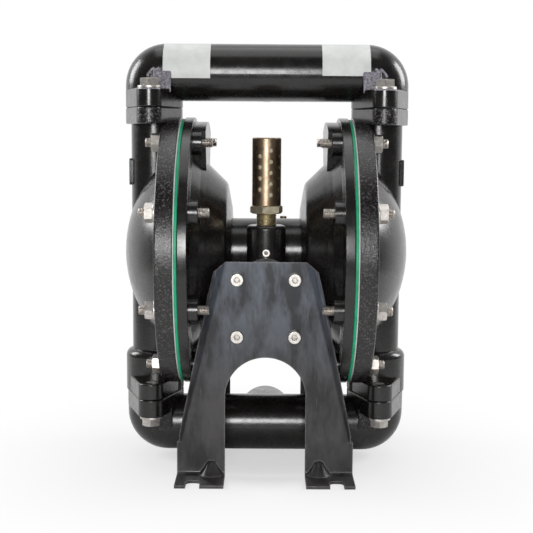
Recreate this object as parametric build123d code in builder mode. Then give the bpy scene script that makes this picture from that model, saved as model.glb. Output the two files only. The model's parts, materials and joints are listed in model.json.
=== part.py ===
from build123d import *
from math import acos, cos, degrees, radians, sin, sqrt, tan
import os

os.makedirs("parts", exist_ok=True)

# Air operated double diaphragm pump, all sizes in millimetres.
# The pump axis runs along X, the front faces -Y, and z = 0 is the floor under the feet.

# Chamber size and the half distance between the chambers, which drive most other places.
RIM_R = 141.5
AIR_FACE_X = 85.5

# Clamped stack of cap flanges and diaphragms, as distances along the pump axis.
BACKUP_T = 3.0
FACING_T = 1.2
FLUID_FLANGE_T = 18.0
AIR_FLANGE_T = 9.8
FLUID_FACE_X = AIR_FACE_X + BACKUP_T + FACING_T
CAP_FLANGE_X = FLUID_FACE_X + FLUID_FLANGE_T
AIR_FLANGE_X = AIR_FACE_X - AIR_FLANGE_T
DIAPHRAGM_R = RIM_R - 1.5
CLAMP_R = RIM_R - 31.5

# Manifold castings. Heights are measured from the pump axis, and z = 0 is the floor.
TUBE_R = 30.0
TUBE_BORE_R = 22.0
ELBOW_R = 14.0
JOINT_Z = RIM_R + 9.5
TUBE_Z = JOINT_Z + 37.5
LEG_X = CAP_FLANGE_X + 11.8
FLOOR_GAP = 6.5
AXIS_Z = TUBE_Z + TUBE_R + FLOOR_GAP
TURN_X = LEG_X - ELBOW_R
TURN_Z = TUBE_Z - ELBOW_R
MANIFOLD_FLANGE_T = 19.0
CAP_JOINT_T = 17.0
LUG_Y = 50.0
LUG_R = 14.0
PORT_BOSS_R = 29.0
PORT_FACE_Y = 48.0
PORT_THREAD_R = 22.42
PORT_THREAD_LENGTH = 20.0
GUSSET_FROM_X = LEG_X - 20.5
GUSSET_T = 19.0
GUSSET_Y = 37.0
GUSSET_RISE = 19.0

# Fluid caps.
DOME_R = RIM_R - 7.5
DOME_TOP_X = LEG_X + 30.5
SHELL_T = 7.0
COLUMN_R = 24.5
COLUMN_END_Z = 30.0
DUCT_R = 19.0
CHAMBER_R = 31.5
CHAMBER_HEIGHT = 45.0
CHAMBER_FLOOR = 38.0
SHOULDER_R = 8.0
COLUMN_PAD_Z = 84.0
COLUMN_PAD_H = 28.0
COLUMN_PAD_W = 22.0
COLUMN_PAD_T = 1.5

# Air caps.
AIR_CAP_DEPTH = 49.0
HUB_X = AIR_FACE_X - AIR_CAP_DEPTH
HUB_FACE_R = 47.0
HUB_WALL = 8.0
AIR_BOSS_H = 9.2
RIB_H = 10.2
RIB_T = 6.0
SADDLE_H = 13.3
SADDLE_OUTER_R = RIM_R - 4.5
SADDLE_INNER_R = RIM_R - 57.5

# Clamp studs, nuts and washers round both diaphragms.
STUD_COUNT = 8
STUD_CIRCLE_R = RIM_R - 17.0
STUD_R = 5.0
STUD_TIP_X = AIR_FLANGE_X - 20.2
STUD_TAIL = 6.0
AIR_BOSS_R = 2.5 * STUD_R
NUT_FLATS = 3.4 * STUD_R
NUT_T = 1.68 * STUD_R
WASHER_R = 2.1 * STUD_R
WASHER_T = 2.0

# Joint bolts of the manifolds.
FLANGE_BOLT_R = 6.0
FLANGE_HEAD_FLATS = 3 * FLANGE_BOLT_R
FLANGE_HEAD_T = 7.5
FLANGE_WASHER_R = 2 * FLANGE_BOLT_R
FLANGE_WASHER_T = 2.5
FLANGE_BOLT_TIP = 2.0

# Ball valves.
BALL_R = 21.0
BALL_LIFT = 10.0
CHAMBER_BORE_R = BALL_R + 3.5
GUIDE_R = BALL_R + 0.8
GUIDE_T = 4.0
STOP_T = 5.0
SEAT_R = 26.0
SEAT_T = 8.0
SEAT_BORE_R = BALL_R * 2 / 3
SEAT_CONE_DEPTH = 4.0
SEAT_RING_R = 1.3

# Rod, diaphragm plates and the fold between plates and rim.
STROKE = 18.0
ROD_R = 10.0
ROD_BUSH_R = ROD_R + 3.0
ROD_BUSH_LENGTH = 16.0
ROD_SEAL_R = ROD_R + 5.0
PLATE_R = RIM_R - 81.5
PLATE_T = 8.0
PLATE_X = AIR_FACE_X - PLATE_T
OUTER_PLATE_T = 10.0
PLATE_SCREW_R = 7.0
PLATE_SCREW_FLATS = 22.0
PLATE_SCREW_HEAD_T = 8.0
PLATE_SCREW_LENGTH = 26.0
FOLD_R = RIM_R - 56.5
FOLD_HALF_WIDTH = 19.0
FOLD_DEPTH = 8.0

# Centre section, its valve blocks and their screws.
CENTRE_R = 34.5
PAD_Y = 37.5
BLOCK_TOP = -12.0
BLOCK_BOTTOM = -92.0
GASKET_T = 1.0
BLOCK_HALF_X = HUB_X - 0.5
BLOCK_FACE_Y = PAD_Y + GASKET_T
BRACKET_Y = 80.5
CAP_SCREW_CIRCLE_R = 26.0
CAP_SCREW_R = 4.0
CAP_SCREW_HEAD_R = 6.5
CAP_SCREW_HEAD_T = 8.0
CAP_SCREW_SOCKET = 6.0
CAP_SCREW_DEPTH = 18.0
SCREW_X = HUB_X - 7.5
SCREW_MID_Z = -49.9
SCREW_SPACING_Z = 58.0
SCREW_GRIP = 13.0
EXHAUST_Y = 57.0
EXHAUST_BOSS_R = 20.0
EXHAUST_BOSS_TOP = 32.0
EXHAUST_BOSS_ROUND = 4.0
EXHAUST_THREAD_R = 10.48
EXHAUST_THREAD_DEPTH = 14.0
EXHAUST_PASSAGE_R = 8.0
COVER_R = 24.5
COVER_Z = -24.5
PLUG_R = 3.75
PLUG_LENGTH = 10.0
PLUG_SOCKET = 3.8
PLUG_Z = 5.0
INLET_BOSS_X = -10.0
INLET_BOSS_R = 16.0
INLET_BOSS_TOP = 26.0
INLET_THREAD_R = 9.32
INLET_THREAD_DEPTH = 16.0
INLET_PASSAGE_R = 8.0
VENT_X = 19.0
VENT_TOP = 30.0
VENT_PLUG_OUT = 3.0

# Spool of the main valve, pilot rod and air ports.
SPOOL_BORE_R = 13.0
SPOOL_NECK_R = 8.0
SPOOL_Y = 60.0
SPOOL_Z = SCREW_MID_Z
SPOOL_TRAVEL = 6.0
END_PLUG_R = 15.0
END_PLUG_T = 5.0
END_RING_T = 1.2
PILOT_Y = 24.0
PILOT_R = 4.0
PILOT_BUSH_R = 6.0
PILOT_TRAVEL = 6.0
AIR_PORT_R = 4.5
AIR_PORT_Y = 14.0
AIR_PORT_Z = -38.0
AIR_PORT_X = 16.0
SUPPLY_Z = -60.0

# Exhaust silencer.
SILENCER_R = 14.7
SILENCER_WALL = 2.0
SILENCER_LENGTH = 68.6
SILENCER_HEX_FLATS = 30.0
SILENCER_HEX_T = 8.2
SILENCER_HEX_Z = 43.8
SILENCER_HEX_TURN = 17.0
SILENCER_HOLE_R = 2.15
SILENCER_COLUMNS = 8
SILENCER_PITCH = 11.15
SILENCER_FIRST_HOLE_Z = 63.0
SILENCER_COLUMN_ANGLE = 17.0

# Foot brackets of pressed sheet. Heights from here on are above the floor.
SHEET = 3.0
BEND_R = 3.0
BRACKET_TOP_Z = AXIS_Z - 3.5
BRACKET_TOP_HALF = HUB_X + 4.5
BEND_END_HALF = 83.4
BEND_END_Z = 45.0
LEG_HALF = 90.0
LEG_TOP_Z = 36.0
ARCH_R = 41.0
ARCH_CENTRE_Z = 83.0
WING_OUT = 6.5
WING_FORWARD = 10.0
WING_WIDTH_TOP = 9.5
WING_WIDTH_LOW = 4.0
FOOT_FRONT_Y = 124.0
NOTCH_X = 72.0
NOTCH_W = 14.0
NOTCH_DEPTH = 17.0
NOTCH_CORNER_R = 5.0
DART_X = 55.0
DART_W = 10.0
DART_SIZE = 12.0

# Clearances between mating pieces.
BOLT_CLEARANCE = 0.5
THREAD_CLEARANCE = 0.1
RUNNING_CLEARANCE = 0.05
SEAT_CLEARANCE = 0.1
BODY_GAP = 0.3

# Sizes that follow from the ones above.
SEAT_POCKET = SEAT_T + 2 * SEAT_RING_R
SEAT_CONE_R = SEAT_BORE_R + SEAT_CONE_DEPTH
BALL_RISE = (BALL_R + BODY_GAP) * sqrt(2) - SEAT_CONE_R
HEX_TO_RADIUS = 1 / sqrt(3)
SCREW_POINTS = [
    (x, SCREW_MID_Z + z)
    for x in (-SCREW_X, SCREW_X)
    for z in (-SCREW_SPACING_Z / 2, SCREW_SPACING_Z / 2)
]

PUMP_AXIS = Axis((0, 0, AXIS_Z), (1, 0, 0))
CENTRE_PLANE = Plane.YZ
FRONT_PLANE = Plane.XZ


def across(x):
    """Plane square to the pump axis, with Y to its right and Z up, measured from the axis."""
    return Plane(origin=(x, 0, AXIS_Z), x_dir=(0, 1, 0), z_dir=(1, 0, 0))


def level(z):
    """Horizontal plane at a height above or below the pump axis."""
    return Plane(origin=(0, 0, AXIS_Z + z), x_dir=(1, 0, 0), z_dir=(0, 0, 1))


def upright(y):
    """Upright plane that faces the front, with X to its right and Z up from the axis."""
    return Plane(origin=(0, y, AXIS_Z), x_dir=(1, 0, 0), z_dir=(0, -1, 0))


def finish(builder, name):
    """Names a finished piece and writes it."""
    builder.part.label = name
    export_step(builder.part, f"parts/{name}.step")


def finish_pair(right, left, name):
    """Writes a piece of the right-hand side and its mirror image on the left."""
    finish(right, f"{name}_right")
    finish(left, f"{name}_left")


# Manifold arm: half a tube, its elbow, its leg and the two-lug joint flange.
with BuildPart() as manifold_arm:
    with BuildSketch(across(0)):
        with Locations((0, TUBE_Z)):
            Circle(TUBE_R)
    extrude(amount=TURN_X)
    with BuildSketch(level(JOINT_Z)):
        with Locations((LEG_X, 0)):
            Circle(TUBE_R)
    extrude(amount=TURN_Z - JOINT_Z)
    with BuildSketch(across(TURN_X)):
        with Locations((0, TUBE_Z)):
            Circle(TUBE_R)
        with Locations((0, TURN_Z)):
            Rectangle(4 * TUBE_R, 4 * TUBE_R, align=(Align.CENTER, Align.MAX), mode=Mode.SUBTRACT)
    revolve(axis=Axis((TURN_X, 0, AXIS_Z + TURN_Z), (0, 1, 0)), revolution_arc=90)
    with BuildSketch(level(JOINT_Z)):
        with Locations((LEG_X, 0)):
            Circle(TUBE_R)
        with Locations((LEG_X, LUG_Y), (LEG_X, -LUG_Y)):
            Circle(LUG_R)
        make_hull()
    extrude(amount=MANIFOLD_FLANGE_T)
    # Gussets between the flange and the flanks of the tube.
    with BuildSketch(across(GUSSET_FROM_X)):
        with BuildLine():
            Polyline(
                (-GUSSET_Y, JOINT_Z + MANIFOLD_FLANGE_T),
                (-TUBE_R, JOINT_Z + MANIFOLD_FLANGE_T + GUSSET_RISE),
                (TUBE_R, JOINT_Z + MANIFOLD_FLANGE_T + GUSSET_RISE),
                (GUSSET_Y, JOINT_Z + MANIFOLD_FLANGE_T),
                close=True,
            )
        make_face()
    extrude(amount=GUSSET_T)
    # Bolt holes in the lugs.
    with BuildSketch(level(JOINT_Z)):
        with Locations((LEG_X, LUG_Y), (LEG_X, -LUG_Y)):
            Circle(FLANGE_BOLT_R + BOLT_CLEARANCE)
    extrude(amount=MANIFOLD_FLANGE_T, mode=Mode.SUBTRACT)
    # Passage through tube, elbow and leg.
    with BuildSketch(across(0)):
        with Locations((0, TUBE_Z)):
            Circle(TUBE_BORE_R)
    extrude(amount=TURN_X, mode=Mode.SUBTRACT)
    with BuildSketch(across(TURN_X)):
        with Locations((0, TUBE_Z)):
            Circle(TUBE_BORE_R)
        with Locations((0, TURN_Z)):
            Rectangle(4 * TUBE_R, 4 * TUBE_R, align=(Align.CENTER, Align.MAX), mode=Mode.SUBTRACT)
    revolve(
        axis=Axis((TURN_X, 0, AXIS_Z + TURN_Z), (0, 1, 0)), revolution_arc=90, mode=Mode.SUBTRACT
    )
    with BuildSketch(level(JOINT_Z)):
        with Locations((LEG_X, 0)):
            Circle(TUBE_BORE_R)
    extrude(amount=TURN_Z - JOINT_Z, mode=Mode.SUBTRACT)

# Outlet manifold on top: the balls lift inside its legs, between ribs and under a stop.
with BuildPart() as outlet_arm:
    add(manifold_arm.part)
    with BuildSketch(level(JOINT_Z)):
        with Locations((LEG_X, 0)):
            Circle(CHAMBER_BORE_R)
            with PolarLocations(GUIDE_R, 4):
                Rectangle(
                    2 * (CHAMBER_BORE_R - GUIDE_R),
                    GUIDE_T,
                    align=(Align.MIN, Align.CENTER),
                    mode=Mode.SUBTRACT,
                )
    extrude(amount=MANIFOLD_FLANGE_T, mode=Mode.SUBTRACT)
    stop_bottom = JOINT_Z + BALL_RISE + BALL_R + BALL_LIFT + BODY_GAP
    with BuildSketch(upright(-STOP_T / 2)):
        with Locations((LEG_X + ELBOW_R / 6, stop_bottom)):
            Rectangle(1.2 * ELBOW_R, 1.3 * ELBOW_R, align=(Align.CENTER, Align.MIN))
    extrude(amount=-STOP_T)

with BuildPart() as outlet_manifold:
    add(outlet_arm.part)
    mirror(outlet_arm.part, about=CENTRE_PLANE)
    with BuildSketch(upright(0)):
        with Locations((0, TUBE_Z)):
            Circle(PORT_BOSS_R)
            Circle(TUBE_BORE_R, mode=Mode.SUBTRACT)
    extrude(amount=-PORT_FACE_Y)
    with BuildSketch(across(-PORT_BOSS_R)):
        with Locations((0, TUBE_Z)):
            Circle(TUBE_BORE_R)
    extrude(amount=2 * PORT_BOSS_R, mode=Mode.SUBTRACT)
    with BuildSketch(upright(PORT_FACE_Y)):
        with Locations((0, TUBE_Z)):
            Circle(TUBE_BORE_R)
    extrude(amount=PORT_FACE_Y, mode=Mode.SUBTRACT)
    with BuildSketch(upright(PORT_FACE_Y)):
        with Locations((0, TUBE_Z)):
            Circle(PORT_THREAD_R)
    extrude(amount=PORT_THREAD_LENGTH, mode=Mode.SUBTRACT)
finish(outlet_manifold, "outlet_manifold")

# Inlet manifold below: the same casting turned over, with pockets for the lower seats.
with BuildPart() as inlet_manifold:
    mirror(manifold_arm.part, about=level(0))
    with BuildSketch(level(-JOINT_Z)):
        with Locations((LEG_X, 0)):
            Circle(SEAT_R + SEAT_CLEARANCE)
    extrude(amount=-SEAT_POCKET, mode=Mode.SUBTRACT)
    mirror(about=CENTRE_PLANE)
    with BuildSketch(upright(0)):
        with Locations((0, -TUBE_Z)):
            Circle(PORT_BOSS_R)
            Circle(TUBE_BORE_R, mode=Mode.SUBTRACT)
    extrude(amount=-PORT_FACE_Y)
    with BuildSketch(across(-PORT_BOSS_R)):
        with Locations((0, -TUBE_Z)):
            Circle(TUBE_BORE_R)
    extrude(amount=2 * PORT_BOSS_R, mode=Mode.SUBTRACT)
    with BuildSketch(upright(PORT_FACE_Y)):
        with Locations((0, -TUBE_Z)):
            Circle(TUBE_BORE_R)
    extrude(amount=PORT_FACE_Y, mode=Mode.SUBTRACT)
    with BuildSketch(upright(PORT_FACE_Y)):
        with Locations((0, -TUBE_Z)):
            Circle(PORT_THREAD_R)
    extrude(amount=PORT_THREAD_LENGTH, mode=Mode.SUBTRACT)
finish(inlet_manifold, "inlet_manifold")

# Fluid cap: a dome with a clamp flange, a column up to the outlet and a ball chamber below.
dome_centre_x = DOME_TOP_X - DOME_R
dome_angle = degrees(acos((CAP_FLANGE_X - dome_centre_x) / DOME_R))
bowl_r = DOME_R - SHELL_T
bowl_mouth_x = FLUID_FACE_X + SHELL_T
bowl_angle = degrees(acos((bowl_mouth_x - dome_centre_x) / bowl_r))
with BuildPart() as fluid_cap_right:
    with BuildSketch(upright(0)):
        with BuildLine():
            dome = CenterArc((dome_centre_x, 0), DOME_R, 0, dome_angle)
            Polyline(
                dome @ 1,
                (CAP_FLANGE_X, RIM_R),
                (FLUID_FACE_X, RIM_R),
                (FLUID_FACE_X, 0),
                dome @ 0,
            )
        make_face()
    revolve(axis=PUMP_AXIS)
    # Columns from the dome to both joint flanges.
    with BuildSketch(level(JOINT_Z)):
        with Locations((LEG_X, 0)):
            Circle(COLUMN_R)
    extrude(amount=COLUMN_END_Z - JOINT_Z)
    with BuildSketch(level(-JOINT_Z)):
        with Locations((LEG_X, 0)):
            Circle(COLUMN_R)
    extrude(amount=JOINT_Z - COLUMN_END_Z)
    # Low machining pad on the outside of the upper column.
    with BuildSketch(across(LEG_X)):
        with Locations((0, COLUMN_PAD_Z)):
            RectangleRounded(COLUMN_PAD_W, COLUMN_PAD_H, radius=COLUMN_PAD_W / 8)
    extrude(amount=COLUMN_R + COLUMN_PAD_T)
    # Ball chamber with a rounded shoulder, turned about the leg.
    with BuildSketch(upright(0)):
        with BuildLine():
            FilletPolyline(
                (LEG_X, -JOINT_Z),
                (LEG_X + CHAMBER_R, -JOINT_Z),
                (LEG_X + CHAMBER_R, -JOINT_Z + CHAMBER_HEIGHT),
                (LEG_X, -JOINT_Z + CHAMBER_HEIGHT),
                radius=[0.5, SHOULDER_R],
            )
            Line((LEG_X, -JOINT_Z + CHAMBER_HEIGHT), (LEG_X, -JOINT_Z))
        make_face()
    revolve(axis=Axis((LEG_X, 0, AXIS_Z), (0, 0, 1)))
    # Two-lug flanges at both joints.
    for joint in (1, -1):
        with BuildSketch(level(joint * JOINT_Z)):
            with Locations((LEG_X, 0)):
                Circle(TUBE_R)
            with Locations((LEG_X, LUG_Y), (LEG_X, -LUG_Y)):
                Circle(LUG_R)
            make_hull()
        extrude(amount=-joint * CAP_JOINT_T)
    # Nothing reaches past the clamp face.
    split(bisect_by=Plane(origin=(FLUID_FACE_X, 0, 0), z_dir=(1, 0, 0)), keep=Keep.TOP)
    # Pumping chamber inside the dome.
    with BuildSketch(upright(0)):
        with BuildLine():
            bowl = CenterArc((dome_centre_x, 0), bowl_r, 0, bowl_angle)
            Polyline(
                bowl @ 1,
                (FLUID_FACE_X, CLAMP_R),
                (FLUID_FACE_X, 0),
                bowl @ 0,
            )
        make_face()
    revolve(axis=PUMP_AXIS, mode=Mode.SUBTRACT)
    # Ducts into the chamber.
    with BuildSketch(level(JOINT_Z)):
        with Locations((LEG_X, 0)):
            Circle(DUCT_R)
    extrude(amount=COLUMN_END_Z - JOINT_Z, mode=Mode.SUBTRACT)
    with BuildSketch(level(-JOINT_Z)):
        with Locations((LEG_X, 0)):
            Circle(DUCT_R)
    extrude(amount=JOINT_Z - COLUMN_END_Z, mode=Mode.SUBTRACT)
    # Seat pocket on top, ball cage below.
    with BuildSketch(level(JOINT_Z)):
        with Locations((LEG_X, 0)):
            Circle(SEAT_R + SEAT_CLEARANCE)
    extrude(amount=-SEAT_POCKET, mode=Mode.SUBTRACT)
    with BuildSketch(level(-JOINT_Z)):
        with Locations((LEG_X, 0)):
            Circle(CHAMBER_BORE_R)
            with PolarLocations(GUIDE_R, 4):
                Rectangle(
                    2 * (CHAMBER_BORE_R - GUIDE_R),
                    GUIDE_T,
                    align=(Align.MIN, Align.CENTER),
                    mode=Mode.SUBTRACT,
                )
    extrude(amount=CHAMBER_FLOOR, mode=Mode.SUBTRACT)
    with BuildSketch(upright(-STOP_T / 2)):
        with Locations((LEG_X, -JOINT_Z + BALL_RISE + BALL_R + BALL_LIFT + BODY_GAP)):
            Rectangle(2 * DUCT_R + 1, 2 * STOP_T, align=(Align.CENTER, Align.MIN))
    extrude(amount=-STOP_T)
    # Room for the nuts, clearance holes for the studs and tapped holes for the joint bolts.
    with BuildSketch(across(CAP_FLANGE_X)):
        with PolarLocations(STUD_CIRCLE_R, STUD_COUNT, start_angle=180 / STUD_COUNT):
            Circle(WASHER_R + BOLT_CLEARANCE)
    extrude(amount=WASHER_T + NUT_T + STUD_TAIL, mode=Mode.SUBTRACT)
    with BuildSketch(across(CAP_FLANGE_X)):
        with PolarLocations(STUD_CIRCLE_R, STUD_COUNT, start_angle=180 / STUD_COUNT):
            Circle(STUD_R + BOLT_CLEARANCE)
    extrude(amount=-FLUID_FLANGE_T, mode=Mode.SUBTRACT)
    for joint in (1, -1):
        with BuildSketch(level(joint * JOINT_Z)):
            with Locations((LEG_X, LUG_Y), (LEG_X, -LUG_Y)):
                Circle(FLANGE_BOLT_R + THREAD_CLEARANCE)
        extrude(amount=-joint * CAP_JOINT_T, mode=Mode.SUBTRACT)
with BuildPart() as fluid_cap_left:
    mirror(fluid_cap_right.part, about=CENTRE_PLANE)
finish_pair(fluid_cap_right, fluid_cap_left, "fluid_cap")

# Air cap: a flat hub, a coned wall, a clamp flange, eight ribbed bosses and two thick saddles.
saddle_slope = tan(radians(180 / STUD_COUNT))
with BuildPart() as air_cap_right:
    with BuildSketch(upright(0)):
        with BuildLine():
            FilletPolyline(
                (HUB_X, 0),
                (HUB_X, HUB_FACE_R),
                (HUB_X + 4.5, RIM_R - 69.5),
                (HUB_X + 25, RIM_R - 49.5),
                (HUB_X + 30.5, RIM_R - 43.5),
                (AIR_FLANGE_X, RIM_R - 29.5),
                (AIR_FLANGE_X, RIM_R),
                (AIR_FACE_X, RIM_R),
                (AIR_FACE_X, 0),
                radius=[1, 10, 4, 4, 4, 1, 1],
            )
            Line((AIR_FACE_X, 0), (HUB_X, 0))
        make_face()
    revolve(axis=PUMP_AXIS)
    with BuildSketch(across(AIR_FLANGE_X)):
        with PolarLocations(STUD_CIRCLE_R, STUD_COUNT, start_angle=180 / STUD_COUNT):
            Circle(AIR_BOSS_R)
    extrude(amount=-AIR_BOSS_H)
    with BuildSketch(across(AIR_FLANGE_X)):
        with PolarLocations(STUD_CIRCLE_R, STUD_COUNT, start_angle=180 / STUD_COUNT):
            Rectangle(STUD_CIRCLE_R - SADDLE_INNER_R, RIB_T, align=(Align.MAX, Align.CENTER))
    extrude(amount=-RIB_H)
    # Saddles at twelve and six o'clock, between neighbouring bosses.
    with BuildSketch(across(AIR_FLANGE_X)):
        for side in (1, -1):
            with BuildLine():
                Polyline(
                    (0, 0),
                    (SADDLE_OUTER_R * saddle_slope, side * SADDLE_OUTER_R),
                    (-SADDLE_OUTER_R * saddle_slope, side * SADDLE_OUTER_R),
                    close=True,
                )
            make_face()
        Circle(SADDLE_OUTER_R, mode=Mode.INTERSECT)
        Circle(SADDLE_INNER_R, mode=Mode.SUBTRACT)
    extrude(amount=-SADDLE_H)
    # Air chamber.
    with BuildSketch(upright(0)):
        with BuildLine():
            FilletPolyline(
                (HUB_X + HUB_WALL, 0),
                (HUB_X + HUB_WALL, RIM_R - 75.5),
                (AIR_FACE_X - 16.5, RIM_R - 49.5),
                (AIR_FACE_X - 4.5, CLAMP_R - 5),
                (AIR_FACE_X, CLAMP_R),
                (AIR_FACE_X, 0),
                radius=[8, 6, 4, 0.5],
            )
            Line((AIR_FACE_X, 0), (HUB_X + HUB_WALL, 0))
        make_face()
    revolve(axis=PUMP_AXIS, mode=Mode.SUBTRACT)
    # Tapped stud holes.
    with BuildSketch(across(AIR_FACE_X)):
        with PolarLocations(STUD_CIRCLE_R, STUD_COUNT, start_angle=180 / STUD_COUNT):
            Circle(STUD_R + THREAD_CLEARANCE)
    extrude(amount=-AIR_FLANGE_T - SADDLE_H, mode=Mode.SUBTRACT)
    # Hub: rod hole with its seal pocket, pilot hole, air port and cap screw holes.
    with BuildSketch(across(HUB_X)):
        Circle(ROD_R + BOLT_CLEARANCE)
        with Locations((PILOT_Y, 0)):
            Circle(PILOT_BUSH_R + SEAT_CLEARANCE)
        with Locations((-AIR_PORT_Y, AIR_PORT_Z)):
            Circle(AIR_PORT_R)
        with PolarLocations(CAP_SCREW_CIRCLE_R, 4, start_angle=45):
            Circle(CAP_SCREW_R + BOLT_CLEARANCE)
    extrude(amount=HUB_WALL, mode=Mode.SUBTRACT)
    with BuildSketch(across(HUB_X + HUB_WALL / 4)):
        Circle(ROD_SEAL_R + SEAT_CLEARANCE)
    extrude(amount=HUB_WALL, mode=Mode.SUBTRACT)
with BuildPart() as air_cap_left:
    mirror(air_cap_right.part, about=CENTRE_PLANE)
finish_pair(air_cap_right, air_cap_left, "air_cap")


def diaphragm(face_x, thickness, air_fold, fluid_fold):
    """Disc with one rolled fold between its plates and its clamped rim."""
    with BuildPart() as disc:
        with BuildSketch(upright(0)):
            with BuildLine():
                hole_r = PLATE_SCREW_R + 2 * SEAT_CLEARANCE
                inner_r = FOLD_R - FOLD_HALF_WIDTH
                outer_r = FOLD_R + FOLD_HALF_WIDTH
                back_x = face_x + thickness
                Line((face_x, hole_r), (face_x, inner_r))
                ThreePointArc((face_x, inner_r), (face_x - air_fold, FOLD_R), (face_x, outer_r))
                Polyline(
                    (face_x, outer_r), (face_x, DIAPHRAGM_R), (back_x, DIAPHRAGM_R), (back_x, outer_r)
                )
                ThreePointArc((back_x, outer_r), (back_x - fluid_fold, FOLD_R), (back_x, inner_r))
                Polyline((back_x, inner_r), (back_x, hole_r), (face_x, hole_r))
            make_face()
        revolve(axis=PUMP_AXIS)
        with BuildSketch(across(face_x)):
            with PolarLocations(STUD_CIRCLE_R, STUD_COUNT, start_angle=180 / STUD_COUNT):
                Circle(STUD_R + BOLT_CLEARANCE)
        extrude(amount=thickness, mode=Mode.SUBTRACT)
    return disc.part


# Backup diaphragm on the air side and facing diaphragm on the fluid side.
with BuildPart() as backup_diaphragm_right:
    add(diaphragm(AIR_FACE_X, BACKUP_T, FOLD_DEPTH, FOLD_DEPTH))
with BuildPart() as backup_diaphragm_left:
    mirror(backup_diaphragm_right.part, about=CENTRE_PLANE)
finish_pair(backup_diaphragm_right, backup_diaphragm_left, "backup_diaphragm")

with BuildPart() as facing_diaphragm_right:
    facing_fold = FOLD_DEPTH - BODY_GAP
    add(diaphragm(AIR_FACE_X + BACKUP_T, FACING_T, facing_fold, facing_fold))
with BuildPart() as facing_diaphragm_left:
    mirror(facing_diaphragm_right.part, about=CENTRE_PLANE)
finish_pair(facing_diaphragm_right, facing_diaphragm_left, "facing_diaphragm")

# Clamp studs, washers and nuts.
nut_face_x = CAP_FLANGE_X + WASHER_T
with BuildPart() as clamp_studs_right:
    with BuildSketch(across(STUD_TIP_X)):
        with PolarLocations(STUD_CIRCLE_R, STUD_COUNT, start_angle=180 / STUD_COUNT):
            Circle(STUD_R)
    extrude(amount=nut_face_x + NUT_T + STUD_TAIL - STUD_TIP_X)
with BuildPart() as clamp_studs_left:
    mirror(clamp_studs_right.part, about=CENTRE_PLANE)
finish_pair(clamp_studs_right, clamp_studs_left, "clamp_studs")

with BuildPart() as clamp_washers_right:
    with BuildSketch(across(CAP_FLANGE_X)):
        with PolarLocations(STUD_CIRCLE_R, STUD_COUNT, start_angle=180 / STUD_COUNT):
            Circle(WASHER_R)
            Circle(STUD_R + THREAD_CLEARANCE, mode=Mode.SUBTRACT)
    extrude(amount=WASHER_T)
with BuildPart() as clamp_washers_left:
    mirror(clamp_washers_right.part, about=CENTRE_PLANE)
finish_pair(clamp_washers_right, clamp_washers_left, "clamp_washers")

with BuildPart() as clamp_nuts_right:
    with BuildSketch(across(nut_face_x)):
        with PolarLocations(STUD_CIRCLE_R, STUD_COUNT, start_angle=180 / STUD_COUNT):
            RegularPolygon(NUT_FLATS * HEX_TO_RADIUS, 6, rotation=30)
            Circle(STUD_R + THREAD_CLEARANCE, mode=Mode.SUBTRACT)
    extrude(amount=NUT_T)
with BuildPart() as clamp_nuts_left:
    mirror(clamp_nuts_right.part, about=CENTRE_PLANE)
finish_pair(clamp_nuts_right, clamp_nuts_left, "clamp_nuts")

# Joint bolts with washers: heads on the manifolds, tips through the lugs of the fluid caps.
LUG_POINTS = [(x, y) for x in (-LEG_X, LEG_X) for y in (-LUG_Y, LUG_Y)]
head_z = JOINT_Z + MANIFOLD_FLANGE_T + FLANGE_WASHER_T
with BuildPart() as outlet_flange_washers:
    with BuildSketch(level(JOINT_Z + MANIFOLD_FLANGE_T)):
        with Locations(*LUG_POINTS):
            Circle(FLANGE_WASHER_R)
            Circle(FLANGE_BOLT_R + BOLT_CLEARANCE, mode=Mode.SUBTRACT)
    extrude(amount=FLANGE_WASHER_T)
finish(outlet_flange_washers, "outlet_flange_washers")

with BuildPart() as outlet_flange_bolts:
    with BuildSketch(level(head_z)):
        with Locations(*LUG_POINTS):
            RegularPolygon(FLANGE_HEAD_FLATS * HEX_TO_RADIUS, 6)
    extrude(amount=FLANGE_HEAD_T)
    with BuildSketch(level(JOINT_Z - CAP_JOINT_T - FLANGE_BOLT_TIP)):
        with Locations(*LUG_POINTS):
            Circle(FLANGE_BOLT_R)
    extrude(amount=head_z - JOINT_Z + CAP_JOINT_T + FLANGE_BOLT_TIP)
finish(outlet_flange_bolts, "outlet_flange_bolts")

with BuildPart() as inlet_flange_washers:
    mirror(outlet_flange_washers.part, about=level(0))
finish(inlet_flange_washers, "inlet_flange_washers")

with BuildPart() as inlet_flange_bolts:
    mirror(outlet_flange_bolts.part, about=level(0))
finish(inlet_flange_bolts, "inlet_flange_bolts")


def seat_pair(face_z):
    """Two valve seats whose upper faces, with the cones for the balls, lie at a height."""
    with BuildPart() as seats:
        with BuildSketch(upright(0)):
            with BuildLine():
                Polyline(
                    (LEG_X + SEAT_BORE_R, face_z - SEAT_T),
                    (LEG_X + SEAT_R, face_z - SEAT_T),
                    (LEG_X + SEAT_R, face_z),
                    (LEG_X + SEAT_CONE_R, face_z),
                    (LEG_X + SEAT_BORE_R, face_z - SEAT_CONE_DEPTH),
                    close=True,
                )
            make_face()
        revolve(axis=Axis((LEG_X, 0, AXIS_Z), (0, 0, 1)))
        mirror(about=CENTRE_PLANE)
    return seats.part


def seat_ring_pair(face_z):
    """Two sealing rings, one under each valve seat."""
    with BuildPart() as rings:
        with BuildSketch(upright(0)):
            with Locations((LEG_X + SEAT_R - 2 * SEAT_RING_R, face_z - SEAT_T - SEAT_RING_R)):
                Circle(SEAT_RING_R)
        revolve(axis=Axis((LEG_X, 0, AXIS_Z), (0, 0, 1)))
        mirror(about=CENTRE_PLANE)
    return rings.part


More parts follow.
